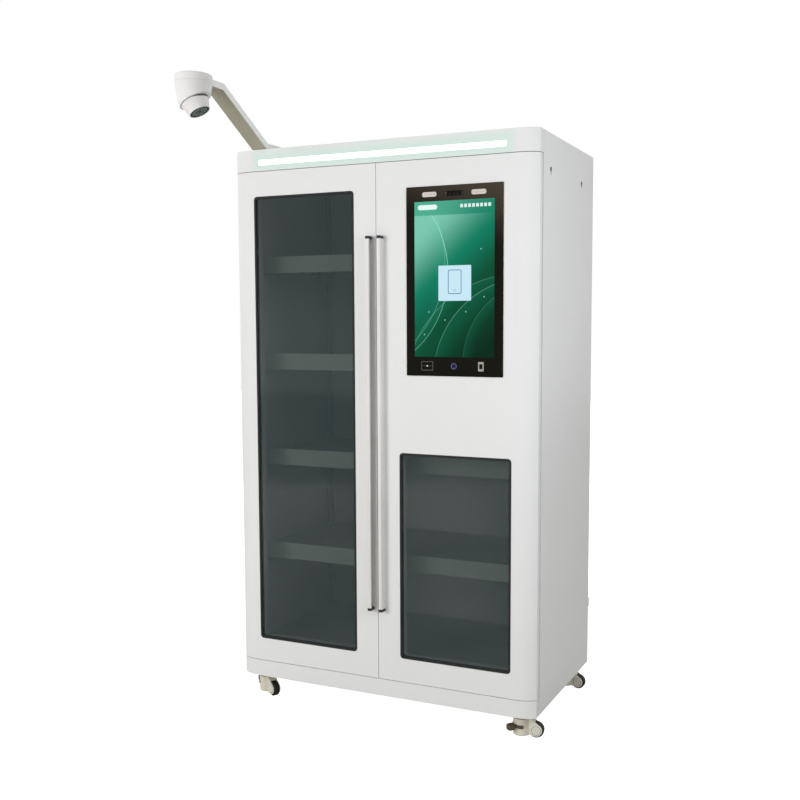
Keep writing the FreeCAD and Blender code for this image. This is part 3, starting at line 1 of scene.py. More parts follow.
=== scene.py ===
# %% [markdown]
# # Dressing a gauge storage cabinet
# The cabinet is a tall white sheet-steel box with two doors, smoked windows, a touch terminal, a lit strip
# and a camera on an arm. Its solids come ready made, at their real size in metres, so this script only
# gives them their finishes, adds the small things that repeat, and sets up a plain studio around them.

import math

import bmesh
import bpy
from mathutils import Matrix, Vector


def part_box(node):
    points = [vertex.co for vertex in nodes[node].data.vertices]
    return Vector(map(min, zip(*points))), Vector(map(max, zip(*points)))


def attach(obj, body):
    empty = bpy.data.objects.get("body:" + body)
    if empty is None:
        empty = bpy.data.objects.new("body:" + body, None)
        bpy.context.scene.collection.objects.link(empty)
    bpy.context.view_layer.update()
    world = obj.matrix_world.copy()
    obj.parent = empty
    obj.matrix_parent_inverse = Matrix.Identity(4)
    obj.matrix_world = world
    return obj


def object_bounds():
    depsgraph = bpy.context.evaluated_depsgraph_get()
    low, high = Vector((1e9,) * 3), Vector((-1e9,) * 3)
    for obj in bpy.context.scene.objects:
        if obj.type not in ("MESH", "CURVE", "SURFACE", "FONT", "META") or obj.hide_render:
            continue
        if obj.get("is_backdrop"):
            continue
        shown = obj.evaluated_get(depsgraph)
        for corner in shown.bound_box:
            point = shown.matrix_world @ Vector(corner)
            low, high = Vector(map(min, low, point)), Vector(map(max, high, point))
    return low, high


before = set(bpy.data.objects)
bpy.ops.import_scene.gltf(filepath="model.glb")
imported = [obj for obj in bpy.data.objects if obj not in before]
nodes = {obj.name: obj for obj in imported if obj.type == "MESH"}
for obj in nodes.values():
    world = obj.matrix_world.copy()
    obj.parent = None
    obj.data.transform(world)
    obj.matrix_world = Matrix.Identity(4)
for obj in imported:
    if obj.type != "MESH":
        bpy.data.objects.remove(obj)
cad_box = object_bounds()
print("solids:", len(nodes), "box:", [[round(n, 4) for n in corner] for corner in cad_box])

# %% [markdown]
# ## The camera
# The photograph was taken from a little above the middle of the cabinet, to its right, with a normal lens.
# The place and the turn of the camera were worked out from the straight edges of the doors, so here they are
# plain numbers. The shift stands for a photograph that was cropped off centre.

# %% Camera
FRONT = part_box("bottom_band")[0].y
CAMERA_PLACE = (1.4842, FRONT - 2.8027, 1.2876)
CAMERA_TURN = 0.4126
CAMERA_DIP = 0.0834
CAMERA_LENS = 44.3
CAMERA_SHIFT = (-0.0628, 0.0132)

camera = bpy.data.objects.new("camera", bpy.data.cameras.new("camera"))
bpy.context.scene.collection.objects.link(camera)
camera.location = CAMERA_PLACE
camera.rotation_euler = (math.pi / 2 - CAMERA_DIP, 0, CAMERA_TURN)
camera.data.sensor_width = 36
camera.data.lens = CAMERA_LENS
camera.data.shift_x, camera.data.shift_y = CAMERA_SHIFT
bpy.context.scene.camera = camera
bpy.context.scene.view_settings.view_transform = "Standard"

# %% [markdown]
# ## Arithmetic in materials
# Much of what follows is arithmetic on places: how far a point is from a line, a ring or a box. This small
# class lets such sums be written as plain expressions and turns each step into a maths node.

# %% A shader's number as a plain expression
class Field:
    """A number that changes over a surface. Sums of fields become maths nodes in the material."""

    def __init__(self, tree, socket):
        self.tree = tree
        self.socket = socket

    def apply(self, operation, *others):
        node = self.tree.nodes.new("ShaderNodeMath")
        node.operation = operation
        for slot, item in enumerate((self, *others)):
            if isinstance(item, Field):
                self.tree.links.new(item.socket, node.inputs[slot])
            else:
                node.inputs[slot].default_value = item
        return Field(self.tree, node.outputs[0])

    def __add__(self, other):
        return self.apply("ADD", other)

    def __sub__(self, other):
        return self.apply("SUBTRACT", other)

    def __mul__(self, other):
        return self.apply("MULTIPLY", other)

    def __truediv__(self, other):
        return self.apply("DIVIDE", other)

    def squared(self):
        return self * self

    def root(self):
        return self.apply("SQRT")

    def size(self):
        return self.apply("ABSOLUTE")

    def sine(self):
        return self.apply("SINE")

    def least(self, other):
        return self.apply("MINIMUM", other)

    def most(self, other):
        return self.apply("MAXIMUM", other)

    def ramp(self, zero, one, low=0.0, high=1.0):
        """Runs smoothly from low, where this number is zero or before it, to high, where it is one."""
        node = self.tree.nodes.new("ShaderNodeMapRange")
        node.interpolation_type = "SMOOTHSTEP"
        self.tree.links.new(self.socket, node.inputs["Value"])
        for name, number in (("From Min", zero), ("From Max", one), ("To Min", low), ("To Max", high)):
            node.inputs[name].default_value = number
        return Field(self.tree, node.outputs["Result"])


# %% [markdown]
# ## The studio
# White sheet steel needs a soft, even light, or its large plain faces turn into hard patches. A big lamp at
# the front left lights the doors, a small weak one lights the right side, and one behind lights the back. The
# sky fills the rest. Seen by the camera, and in glass and metal, the sky is plain white, which costs the
# cabinet no extra light. The floor too gives off light only where the camera looks straight at it.

# %% Sky, lamps, floor
SKY_LIGHT = 0.47
FLOOR_COLOUR = (0.60, 0.585, 0.54, 1)
FLOOR_REACH = 14.0
FLOOR_LIFT = 1.0
# Each lamp: its name, its place, the point it aims at, its width, its power in watts and its colour.
LAMPS = (
    ("front_lamp", (-2.4, -4.5, 1.8), (0, 0, 1.0), 2.2, 125, (1, 1, 1)),
    ("side_lamp", (1.9, -0.95, 1.6), (0.4, 0, 1.0), 0.8, 12.5, (0.92, 0.97, 1.0)),
    ("back_lamp", (-2.4, 4.2, 3.0), (0, 0.3, 1.0), 2.2, 110, (1, 1, 1)),
)


def sky():
    world = bpy.data.worlds.new("studio_sky")
    world.use_nodes = True
    tree = world.node_tree
    background = tree.nodes["Background"]
    background.inputs["Color"].default_value = (1, 1, 1, 1)
    path = tree.nodes.new("ShaderNodeLightPath")
    seen = Field(tree, path.outputs["Is Camera Ray"]).most(Field(tree, path.outputs["Is Glossy Ray"]))
    seen = seen.most(Field(tree, path.outputs["Is Transmission Ray"]))
    tree.links.new((seen * (1 - SKY_LIGHT) + SKY_LIGHT).socket, background.inputs["Strength"])
    bpy.context.scene.world = world


def soft_lamp(name, place, aim, width, watts, colour):
    light = bpy.data.lights.new(name, "AREA")
    light.shape = "SQUARE"
    light.size = width
    light.energy = watts
    light.color = colour
    lamp = bpy.data.objects.new(name, light)
    lamp.location = place
    lamp.rotation_euler = (Vector(aim) - Vector(place)).to_track_quat("-Z", "Y").to_euler()
    lamp.visible_glossy = False
    bpy.context.scene.collection.objects.link(lamp)


def floor():
    mesh = bpy.data.meshes.new("floor")
    corners = [(x * FLOOR_REACH, y * FLOOR_REACH, 0) for x, y in ((-1, -1), (1, -1), (1, 1), (-1, 1))]
    mesh.from_pydata(corners, [], [(0, 1, 2, 3)])
    item = bpy.data.objects.new("floor", mesh)
    bpy.context.scene.collection.objects.link(item)
    material = bpy.data.materials.new("studio_floor")
    material.use_nodes = True
    tree = material.node_tree
    shader = tree.nodes["Principled BSDF"]
    shader.inputs["Base Color"].default_value = FLOOR_COLOUR
    shader.inputs["Roughness"].default_value = 0.9
    shader.inputs["Specular IOR Level"].default_value = 0
    shader.inputs["Emission Color"].default_value = (1, 1, 1, 1)
    path = tree.nodes.new("ShaderNodeLightPath")
    lift = Field(tree, path.outputs["Is Camera Ray"]) * FLOOR_LIFT
    tree.links.new(lift.socket, shader.inputs["Emission Strength"])
    mesh.materials.append(material)
    item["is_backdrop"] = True


sky()
floor()
for lamp_facts in LAMPS:
    soft_lamp(*lamp_facts)

# %% [markdown]
# ## One way to start every finish
# Each finish is a Principled shader whose colour drifts a little and whose surface has a fine grain. Both
# come from noise on Object coordinates, so they keep their real size in metres on every piece.

# %% A finish with grain
CLOUDS_PER_METRE, WEAR_PER_METRE = 2.2, 9.0
SHEEN_SPREAD = 0.12


def finish(name, colour, roughness, metallic=0.0, drift=0.04, grain=600.0, depth=0.00008, **sockets):
    """A material with a drifting colour and a fine grain. grain is in lumps per metre, depth in metres."""
    material = bpy.data.materials.new(name)
    material.use_nodes = True
    tree = material.node_tree
    shader = tree.nodes["Principled BSDF"]
    shader.inputs["Metallic"].default_value = metallic
    for socket, number in sockets.items():
        shader.inputs[socket.replace("_", " ")].default_value = number
    place = tree.nodes.new("ShaderNodeTexCoord").outputs["Object"]
    cloud = noise(tree, place, CLOUDS_PER_METRE, 3)
    shade = mix(tree, cloud.ramp(0.3, 0.7), darker(colour, 1 - drift), darker(colour, 1 + drift / 2))
    tree.links.new(shade, shader.inputs["Base Color"])
    wear = noise(tree, place, WEAR_PER_METRE, 4)
    smooth, rough = roughness * (1 - SHEEN_SPREAD), min(1, roughness * (1 + SHEEN_SPREAD))
    tree.links.new(wear.ramp(0.25, 0.75, smooth, rough).socket, shader.inputs["Roughness"])
    if depth:
        bump = tree.nodes.new("ShaderNodeBump")
        bump.inputs["Distance"].default_value = depth
        tree.links.new(noise(tree, place, grain, 2).socket, bump.inputs["Height"])
        tree.links.new(bump.outputs["Normal"], shader.inputs["Normal"])
    return material


def noise(tree, place, scale, detail):
    node = tree.nodes.new("ShaderNodeTexNoise")
    tree.links.new(place, node.inputs["Vector"])
    node.inputs["Scale"].default_value = scale
    node.inputs["Detail"].default_value = detail
    return Field(tree, node.outputs["Fac"])


def darker(colour, share):
    return tuple(min(1.0, channel * share) for channel in colour[:3])


def mix(tree, amount, first, second):
    """A colour between two colours or colour sockets, by a field."""
    # This node has its two colours at inputs 6 and 7 and the mixed colour at output 2.
    node = tree.nodes.new("ShaderNodeMix")
    node.data_type = "RGBA"
    tree.links.new(amount.socket, node.inputs["Factor"])
    for socket, colour in ((node.inputs[6], first), (node.inputs[7], second)):
        if isinstance(colour, tuple):
            socket.default_value = (*colour[:3], 1)
        else:
            tree.links.new(colour, socket)
    return node.outputs[2]


def coordinates(tree):
    """Object coordinates as three fields."""
    split = tree.nodes.new("ShaderNodeSeparateXYZ")
    tree.links.new(tree.nodes.new("ShaderNodeTexCoord").outputs["Object"], split.inputs[0])
    return [Field(tree, split.outputs[axis]) for axis in range(3)]


def facing_up(tree):
    """How far a surface looks up: 1 is straight up, 0 level and -1 straight down."""
    split = tree.nodes.new("ShaderNodeSeparateXYZ")
    tree.links.new(tree.nodes.new("ShaderNodeNewGeometry").outputs["True Normal"], split.inputs[0])
    return Field(tree, split.outputs[2])


def shader_of(material):
    return material.node_tree.nodes["Principled BSDF"]


def colour_of(material):
    """The socket that a finish takes its colour from so far."""
    return shader_of(material).inputs["Base Color"].links[0].from_socket


def repaint(material, colour):
    """Gives a finish another colour socket, and hands the finish back."""
    material.node_tree.links.new(colour, shader_of(material).inputs["Base Color"])
    return material


def dress(material, *names):
    """Gives a finish to solids that are shown as they are."""
    for name in names:
        mesh = nodes[name].data
        mesh.materials.clear()
        mesh.materials.append(material)


# %% [markdown]
# ## Powder-coated sheet
# Powder coat is a baked plastic skin, a little wavy like orange peel and softly glossy. The outside is a
# clean white. Inside, the coat is duller and the shelves are greenish, with painted shade: greyer tops and
# dark undersides. The slotted uprights are painted dark grey as the shade of the recess they stand in.

# %% White sheet
SPRAYED = {"grain": 420, "depth": 0.00012}
WHITE, INNER_WHITE, UPRIGHT_SHADE_GREY = (0.80, 0.80, 0.80), (0.74, 0.75, 0.74), (0.16, 0.175, 0.17)
SHELF_FRONT, SHELF_TOP_SHADE, SHELF_UNDERSIDE_SHADE = (0.62, 0.71, 0.64), (0.46, 0.49, 0.47), (0.12, 0.13, 0.125)


def white_coat(name):
    return finish(name, WHITE, 0.42, drift=0.015, Coat_Weight=0.12, Coat_Roughness=0.3, **SPRAYED)


def shelf_coat_with_painted_shade():
    """The shelves' coat, with painted shade: greyer on top and dark on the undersides."""
    material = finish("shelf_coat_painted_shade", SHELF_FRONT, 0.5, drift=0.03, **SPRAYED)
    tree = material.node_tree
    # Painted shade by facing: dark undersides and greyer tops.
    up = facing_up(tree)
    shade = mix(tree, up.ramp(-0.9, -0.5, 1.0, 0.0), colour_of(material), SHELF_UNDERSIDE_SHADE)
    return repaint(material, mix(tree, up.ramp(0.5, 0.9), shade, SHELF_TOP_SHADE))


dress(white_coat("white_powder_coat"), "left_side_panel", "right_side_panel", "back_panel", "roof_panel",
      "bottom_band", "left_door", "right_door")
dress(finish("inner_powder_coat", INNER_WHITE, 0.5, drift=0.03, **SPRAYED), "chassis_tray")
# The uprights' dark grey is painted shade for the recess they stand in.
dress(finish("upright_coat_painted_shade", UPRIGHT_SHADE_GREY, 0.5, drift=0.05, **SPRAYED), "shelf_uprights")
dress(shelf_coat_with_painted_shade(), "floor_shelf", "shelf_1", "shelf_2", "shelf_3", "shelf_4")

# %% [markdown]
# ## The lit strip and its glow
# A frosted cover runs across the top band with lamps behind it, and the paint around it picks up the light.
# The cover sits flush, so a lamp could not graze the paint. The glow is therefore a soft pale green in the
# band's own finish that fades with the distance from the strip.

# %% Status light
STRIP_HALF_LENGTH, STRIP_HALF_HEIGHT = 0.44, 0.009
GLOW_REACH = 0.045
GLOW_GREEN = (0.64, 0.81, 0.74)
strip_low, strip_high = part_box("status_light_cover")
strip_middle = (strip_low + strip_high) / 2
strip_cover = finish("frosted_strip", (0.9, 1.0, 0.95), 0.5, drift=0.0, depth=0)
shader_of(strip_cover).inputs["Emission Color"].default_value = (0.86, 1.0, 0.94, 1)
shader_of(strip_cover).inputs["Emission Strength"].default_value = 0.75
dress(strip_cover, "status_light_cover")


def glowing_band():
    """The white coat, with the glow on the band's front face only."""
    material = white_coat("band_powder_coat")
    tree = material.node_tree
    x, y, z = coordinates(tree)
    above = (z - strip_middle.z).size() - STRIP_HALF_HEIGHT
    beside = x.size() - STRIP_HALF_LENGTH
    front_face = y.ramp(FRONT + 0.001, FRONT + 0.012, 1.0, 0.0)
    glow = above.most(beside).ramp(-0.01, GLOW_REACH, 1.0, 0.0) * front_face
    return repaint(material, mix(tree, glow, colour_of(material), GLOW_GREEN))


dress(glowing_band(), "top_band")

# %% [markdown]
# ## Smoked windows
# The panes are dark tinted glass in black rubber. A see-through share in the shader lets the lamps reach the
# shelves behind, as real smoked glass does, and the polished face still mirrors the bright room. Towards
# the top the pane's colour is painted darker, a painted reflection.

# %% Glass and rubber
TINT, TOP_PAINTED_REFLECTION = (0.048, 0.070, 0.071), (0.024, 0.042, 0.042)
PAINTED_REFLECTION_START, PAINTED_REFLECTION_FULL = 1.25, 1.55


def smoked_pane():
    material = finish("smoked_glass", TINT, 0.06, drift=0.12, depth=0, Alpha=0.46, IOR=1.45)
    tree = material.node_tree
    # Painted reflection: the pane turns darker towards the top.
    painted_reflection = coordinates(tree)[2].ramp(PAINTED_REFLECTION_START, PAINTED_REFLECTION_FULL)
    return repaint(material, mix(tree, painted_reflection, colour_of(material), TOP_PAINTED_REFLECTION))


rubber = finish("black_rubber", (0.012, 0.012, 0.012), 0.62, drift=0.2, grain=1500, depth=0.00006)
dress(smoked_pane(), "left_door_glass", "right_door_glass")
dress(rubber, "left_door_gasket", "right_door_gasket")

# %% [markdown]
# ## Handles
# The two handles are long aluminium profiles. Anodised aluminium shows fine lines along its length, left by
# the press that it was pushed through, so its noise is squeezed across and stretched along the profile.

# %% Anodised profile
LINES_PER_METRE, LINE_STRETCH, LINE_DEPTH = 2600.0, 400, 0.00003


def anodised_profile():
    """Aluminium with fine upright lines."""
    material = finish("anodised_profile", (0.80, 0.79, 0.78), 0.45, metallic=0.2, drift=0.05, depth=0)
    tree = material.node_tree
    stretch = tree.nodes.new("ShaderNodeMapping")
    stretch.inputs["Scale"].default_value = (LINES_PER_METRE, LINES_PER_METRE, LINES_PER_METRE / LINE_STRETCH)
    tree.links.new(tree.nodes.new("ShaderNodeTexCoord").outputs["Object"], stretch.inputs["Vector"])
    bump = tree.nodes.new("ShaderNodeBump")
    bump.inputs["Distance"].default_value = LINE_DEPTH
    tree.links.new(noise(tree, stretch.outputs["Vector"], 1.0, 2).socket, bump.inputs["Height"])
    tree.links.new(bump.outputs["Normal"], shader_of(material).inputs["Normal"])
    return material


black_plastic = finish("black_plastic", (0.02, 0.019, 0.018), 0.45, drift=0.15, grain=1800, depth=0.00005)
dress(anodised_profile(), "left_grip", "right_grip")
dress(black_plastic, "left_grip_caps", "right_grip_caps", "shelf_brackets", "power_inlet", "terminal_housing")

# %% [markdown]
# ## The terminal's screen
# A lit screen gives off its picture, so the picture goes into the shader's emission. It is drawn with
# distances: a shape is the set of points nearer to something than a limit, and a soft step at the limit
# paints it. All of it is in metres on the glass, measured from the middle of the lit area.

# %% Distances for drawing
SCREEN_LOW, SCREEN_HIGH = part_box("terminal_display")
SCREEN_MIDDLE = (SCREEN_LOW + SCREEN_HIGH) / 2
EDGE = 0.0006


def rounded_box(across, up, middle, half, corner):
    """How far a point lies outside a box with round corners; negative inside."""
    out_x = (across - middle[0]).size() - (half[0] - corner)
    out_y = (up - middle[1]).size() - (half[1] - corner)
    outside = (out_x.most(0).squared() + out_y.most(0).squared()).root()
    return outside + out_x.most(out_y).least(0) - corner


def reach_from(across, up, middle):
    """How far a point lies from a point on the same plane."""
    return ((across - middle[0]).squared() + (up - middle[1]).squared()).root()


def ring(across, up, middle, radius=0.0):
    """How far a point lies from a circle, or from its middle when it has no radius."""
    return (reach_from(across, up, middle) - radius).size()


def inside(distance, edge=EDGE):
    return distance.ramp(-edge, edge, 1.0, 0.0)


# %% Screen picture
DEEP_GREEN, DARK_GREEN = (0.0008, 0.022, 0.010), (0.0015, 0.072, 0.032)
MIDDLE_GREEN, PALE_GREEN = (0.004, 0.21, 0.12), (0.20, 0.57, 0.43)
VEIL_GREEN, ARC_GREEN, SPARK_GREEN = (0.04, 0.8, 0.5), (0.42, 1.0, 0.74), (0.5, 1.0, 0.8)
HEADER_LEFT, HEADER_RIGHT = (0.05, 0.39, 0.25), (0.006, 0.22, 0.13)
BADGE_WHITE, GLYPH_WHITE = (0.8, 0.95, 0.9), (0.72, 0.92, 0.86)
CARD_BLUE, INK_BLUE, BUTTON_BLUE = (0.58, 0.81, 0.93), (0.08, 0.12, 0.30), (0.16, 0.22, 0.40)

# Each arc: its middle, its radius, how far its veil reaches inwards and how bright its line is.
ARCS = (
    ((0.28, -0.26), 0.25, 0.04, 0.3),
    ((0.24, -0.31), 0.31, 0.06, 0.5),
    ((0.2, -0.36), 0.37, 0.05, 0.25),
    ((-0.33, 0.02), 0.31, 0.05, 0.55),
    ((-0.36, 0.05), 0.33, 0.05, 0.25),
)
SPARKS = ((-0.085, -0.10), (-0.03, -0.125), (0.04, -0.10), (0.1, -0.055), (0.09, 0.09), (-0.1, -0.17))
HEADER_BOTTOM, HEADER_MIDDLE = 0.197, 0.222
GLYPH_START, GLYPH_PITCH, GLYPH_HALF_HEIGHT = 0.0191, 0.0131, 0.0052
GLYPH_ROW_MIDDLE, GLYPH_ROW_HALF = 0.0715, 0.0524
CARD_MIDDLE, CARD_HALF = (0.0027, -0.0119), (0.0548, 0.0542)
DEVICE_MIDDLE, DEVICE_HALF = (0.0027, -0.008), (0.0215, 0.036)
BUTTON_MIDDLE, BUTTON_RADIUS = (0.0027, -0.034), 0.0032


def draw_backdrop(tree, across, up):
    """Greens that run from pale at the upper left to deep at the lower right, with arcs and sparks."""
    slope = across * -0.9 + up
    picture = mix(tree, slope.ramp(-0.33, -0.1), DEEP_GREEN, DARK_GREEN)
    picture = mix(tree, slope.ramp(-0.1, 0.1), picture, MIDDLE_GREEN)
    picture = mix(tree, slope.ramp(0.05, 0.26), picture, PALE_GREEN)
    for middle, radius, fade, light in ARCS:
        reach = reach_from(across, up, middle) - radius
        veil = reach.ramp(-fade, 0.0) * reach.ramp(0.0, 0.001, 1.0, 0.0)
        picture = mix(tree, veil * 0.03, picture, VEIL_GREEN)
        shine = slope.ramp(-0.25, 0.1, 0.15, 1.0) * light
        picture = mix(tree, reach.size().ramp(0.0, 0.0019, 1.0, 0.0) * shine, picture, ARC_GREEN)
    for place in SPARKS:
        picture = mix(tree, ring(across, up, place).ramp(0.0, 0.0034, 0.7, 0.0), picture, SPARK_GREEN)
    return picture


def draw_header(tree, across, up, picture):
    """A bar with a plain rounded badge at its left and a row of plain squares at its right."""
    header = inside(up * -1 + HEADER_BOTTOM)
    bar = mix(tree, across.ramp(-0.14, 0.12), HEADER_LEFT, HEADER_RIGHT)
    picture = mix(tree, header * 0.8, picture, bar)
    badge = rounded_box(across, up, (-0.089, HEADER_MIDDLE), (0.033, 0.0075), 0.0075)
    picture = mix(tree, inside(badge), picture, BADGE_WHITE)
    step = ((across - GLYPH_START) / GLYPH_PITCH).apply("FRACT") - 0.5
    level = inside((up - HEADER_MIDDLE).size() - GLYPH_HALF_HEIGHT)
    square = step.size().ramp(0.28, 0.4, 1.0, 0.0) * level
    row = inside((across - GLYPH_ROW_MIDDLE).size() - GLYPH_ROW_HALF, 0.0002)
    return mix(tree, square * row, picture, GLYPH_WHITE)


def draw_card(tree, across, up, picture):
    """A pale card with the outline of a hand-held device."""
    card = rounded_box(across, up, CARD_MIDDLE, CARD_HALF, 0.003)
    picture = mix(tree, inside(card), picture, CARD_BLUE)
    device = rounded_box(across, up, DEVICE_MIDDLE, DEVICE_HALF, 0.005)
    picture = mix(tree, inside(device.size() - 0.0011), picture, INK_BLUE)
    button = ring(across, up, BUTTON_MIDDLE, BUTTON_RADIUS) - 0.0005
    return mix(tree, inside(button), picture, BUTTON_BLUE)


def screen_picture():
    """The picture glows on the front face of the display and nowhere else."""
    material = finish("lit_screen", (0.002, 0.004, 0.003), 0.16, drift=0.0, depth=0, Specular_IOR_Level=0.03)
    tree = material.node_tree
    x, y, z = coordinates(tree)
    across, up = x - SCREEN_MIDDLE.x, z - SCREEN_MIDDLE.z
    picture = draw_backdrop(tree, across, up)
    picture = draw_header(tree, across, up, picture)
    picture = draw_card(tree, across, up, picture)
    lit_side = y.ramp(SCREEN_LOW.y + 0.0004, SCREEN_LOW.y + 0.0008, 1.0, 0.0)
    shader = shader_of(material)
    tree.links.new(mix(tree, lit_side, (0, 0, 0), picture), shader.inputs["Emission Color"])
    shader.inputs["Emission Strength"].default_value = 1.0
    return material


dress(screen_picture(), "terminal_display")

# %% [markdown]
# ## The terminal's front
# Around the screen lies a black printed glass. Two frosted lamps light the user's face, a dark window hides
# the sensors between them, and three readers sit below the screen.

# %% Bezel and lamps
LAMP_PITCH = 0.0078
PRINT_BLACK, PAINTED_SHEEN_BROWN = (0.0075, 0.0072, 0.005), (0.056, 0.046, 0.033)
FROST, LAMP_SPOT = (0.66, 0.6, 0.56), (0.36, 0.26, 0.2)


def printed_glass():
    """Black glass with a painted sheen: a little brown towards its upper right, where it catches the lamp."""
    material = finish("printed_glass", PRINT_BLACK, 0.2, drift=0.1, depth=0, Specular_IOR_Level=0.04)
    tree = material.node_tree
    x, _, z = coordinates(tree)
    # Painted sheen: the glass turns brown towards its upper right.
    sheen_slope = (x - SCREEN_MIDDLE.x) * 0.35 + (z - SCREEN_MIDDLE.z)
    return repaint(material, mix(tree, sheen_slope.ramp(0.13, 0.34), colour_of(material), PAINTED_SHEEN_BROWN))


def lamp_cover():
    """Frosted cover with a row of small lamps that show through as faint spots."""
    material = finish("frosted_lamp", FROST, 0.4, drift=0.03, depth=0)
    tree = material.node_tree
    low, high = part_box("terminal_lamps")
    x, _, z = coordinates(tree)
    wave = ((x - low.x) * (2 * math.pi / LAMP_PITCH)).sine()
    row = (z - (low.z + high.z) / 2).size().ramp(0.001, 0.0035, 1.0, 0.0)
    spots = wave.ramp(0.1, 0.9) * row
    return repaint(material, mix(tree, spots * 0.6, colour_of(material), LAMP_SPOT))


dress(printed_glass(), "terminal_glass")
dress(lamp_cover(), "terminal_lamps")

# %% Readers and sensors
READER_OFFSET, READER_HALF_HEIGHT = 0.0905, 0.0145
CARD_READER_HALF_WIDTH, CODE_READER_HALF_WIDTH = 0.0205, 0.00925
FRAME_GREY, SLOT_GREY, SPOT_WHITE = (0.13, 0.12, 0.1), (0.09, 0.085, 0.07), (0.8, 0.8, 0.76)
HALO_BLUE, HEART_BLUE, CODE_IVORY = (0.10, 0.11, 0.21), (0.02, 0.02, 0.09), (0.40, 0.37, 0.32)
SENSOR_BROWN = (0.05, 0.03, 0.025)


def draw_card_reader(tree, x, z, place, colour):
    """A printed frame with a slot across it and a pale spot."""
    card = rounded_box(x, z, place, (CARD_READER_HALF_WIDTH, READER_HALF_HEIGHT), 0.0015)
    colour = mix(tree, inside((card + 0.0012).size() - 0.0009, 0.0003), colour, FRAME_GREY)
    slot = inside((z - place[1]).size() - 0.0012) * inside(card)
    colour = mix(tree, slot * 0.6, colour, SLOT_GREY)
    return mix(tree, inside(ring(x, z, place) - 0.0024), colour, SPOT_WHITE)


def draw_round_reader(tree, x, z, place, colour):
    """A blue ring with a dark blue heart."""
    colour = mix(tree, inside(ring(x, z, place, 0.0085) - 0.0016), colour, HALO_BLUE)
    return mix(tree, inside(ring(x, z, place) - 0.005), colour, HEART_BLUE)


def draw_code_reader(tree, x, z, place, colour):
    """A pale frame round a dark hole."""
    code = rounded_box(x, z, place, (CODE_READER_HALF_WIDTH, READER_HALF_HEIGHT), 0.0015)
    hole = rounded_box(x, z, place, (0.0055, 0.0078), 0.001)
    return mix(tree, inside(code) * inside(hole * -1), colour, CODE_IVORY)


def draw_sensors(tree, x, z, middle, top, colour):
    """A tick at each end of the sensor window and three faint round sensors between them."""
    for side, light in ((-1, 0.22), (1, 0.08)):
        tick = rounded_box(x, z, (middle + side * 0.0265, top - 0.0075), (0.0008, 0.0055), 0.0005)
        colour = mix(tree, inside(tick, 0.0003), colour, (light, light * 0.9, light * 0.8))
    for place in (-0.012, 0.002, 0.013):
        sensor = inside(ring(x, z, (middle + place, top - 0.0095)) - 0.002)
        colour = mix(tree, sensor, colour, SENSOR_BROWN)
    return colour


def reader_windows():
    """Dark windows: three readers below the screen and the sensors between the lamps."""
    black = (0.008, 0.007, 0.006)
    material = finish("reader_glass", black, 0.16, drift=0.0, depth=0, Specular_IOR_Level=0.04)
    tree = material.node_tree
    low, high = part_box("terminal_windows")
    x, _, z = coordinates(tree)
    middle, level = SCREEN_MIDDLE.x, low.z + READER_HALF_HEIGHT
    colour = draw_card_reader(tree, x, z, (middle - READER_OFFSET, level), colour_of(material))
    colour = draw_round_reader(tree, x, z, (middle, level), colour)
    colour = draw_code_reader(tree, x, z, (middle + READER_OFFSET, level), colour)
    return repaint(material, draw_sensors(tree, x, z, middle, high.z, colour))


dress(reader_windows(), "terminal_windows")

# %% [markdown]
# ## The camera on its arm
# The arm and the camera are coated a warm white. The eyeball carries a dark window, with the lens in its
# middle and small lamps round it. All of that is drawn around the lens axis, which leans out of the vertical.

# %% Lens axis
EYE_DROP = 0.05
LENS_TILT, LENS_TURN = math.radians(27), math.radians(10.7)
cap_low, cap_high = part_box("camera_cap")
EYE = (cap_low + cap_high) / 2
EYE.z = cap_low.z - EYE_DROP
LENS_AXIS = Vector((math.sin(LENS_TILT) * math.cos(LENS_TURN), math.sin(LENS_TILT) * math.sin(LENS_TURN),
                    -math.cos(LENS_TILT)))
LENS_SIDE = Vector((-math.sin(LENS_TURN), math.cos(LENS_TURN), 0))
LENS_UP = LENS_AXIS.cross(LENS_SIDE)


def reach_along(tree, way):
    """How far a point lies from the eyeball's centre along a direction."""
    x, y, z = coordinates(tree)
    return (x - EYE.x) * way.x + (y - EYE.y) * way.y + (z - EYE.z) * way.z


# %% Camera finishes
SHELL_WHITE, GAP_BLACK = (0.84, 0.82, 0.82), (0.05, 0.055, 0.05)
GAP_START, GAP_WIDENING = 0.0066, 0.0045
LENS_BLACK, DISC_GREY, LAMP_BLACK = (0.004, 0.007, 0.006), (0.13, 0.17, 0.15), (0.03, 0.04, 0.035)
PUPIL_BLACK, PAINTED_HIGHLIGHT_GREY = (0.012, 0.016, 0.016), (0.16, 0.19, 0.18)
LAMP_COUNT, LAMP_CIRCLE, LAMP_RADIUS, LAMP_TURN = 8, 0.0185, 0.0028, 0.2
# The arm's white is brighter than the cabinet's as painted light; its underside colour is painted shade.
ARM_LIT_WHITE, ARM_UNDERSIDE_SHADE = (0.95, 0.96, 0.93), (0.37, 0.345, 0.265)


def camera_coat(name):
    return finish(name, SHELL_WHITE, 0.36, drift=0.02, grain=900, depth=0.00006)


def shadow_gap():
    """The eyeball's coat, darker in the narrow gap under the housing's rim, where no light gets in."""
    material = camera_coat("eyeball_shell")
    tree = material.node_tree
    ahead, upward = reach_along(tree, LENS_AXIS), reach_along(tree, LENS_UP)
    wide = upward.ramp(0.012, 0.04, 0.0, GAP_WIDENING) + GAP_START
    gap = (ahead - wide).ramp(-0.001, 0.001, 1.0, 0.0) * upward.ramp(-0.01, 0.02, 0.35, 1.0)
    return repaint(material, mix(tree, gap, colour_of(material), GAP_BLACK))


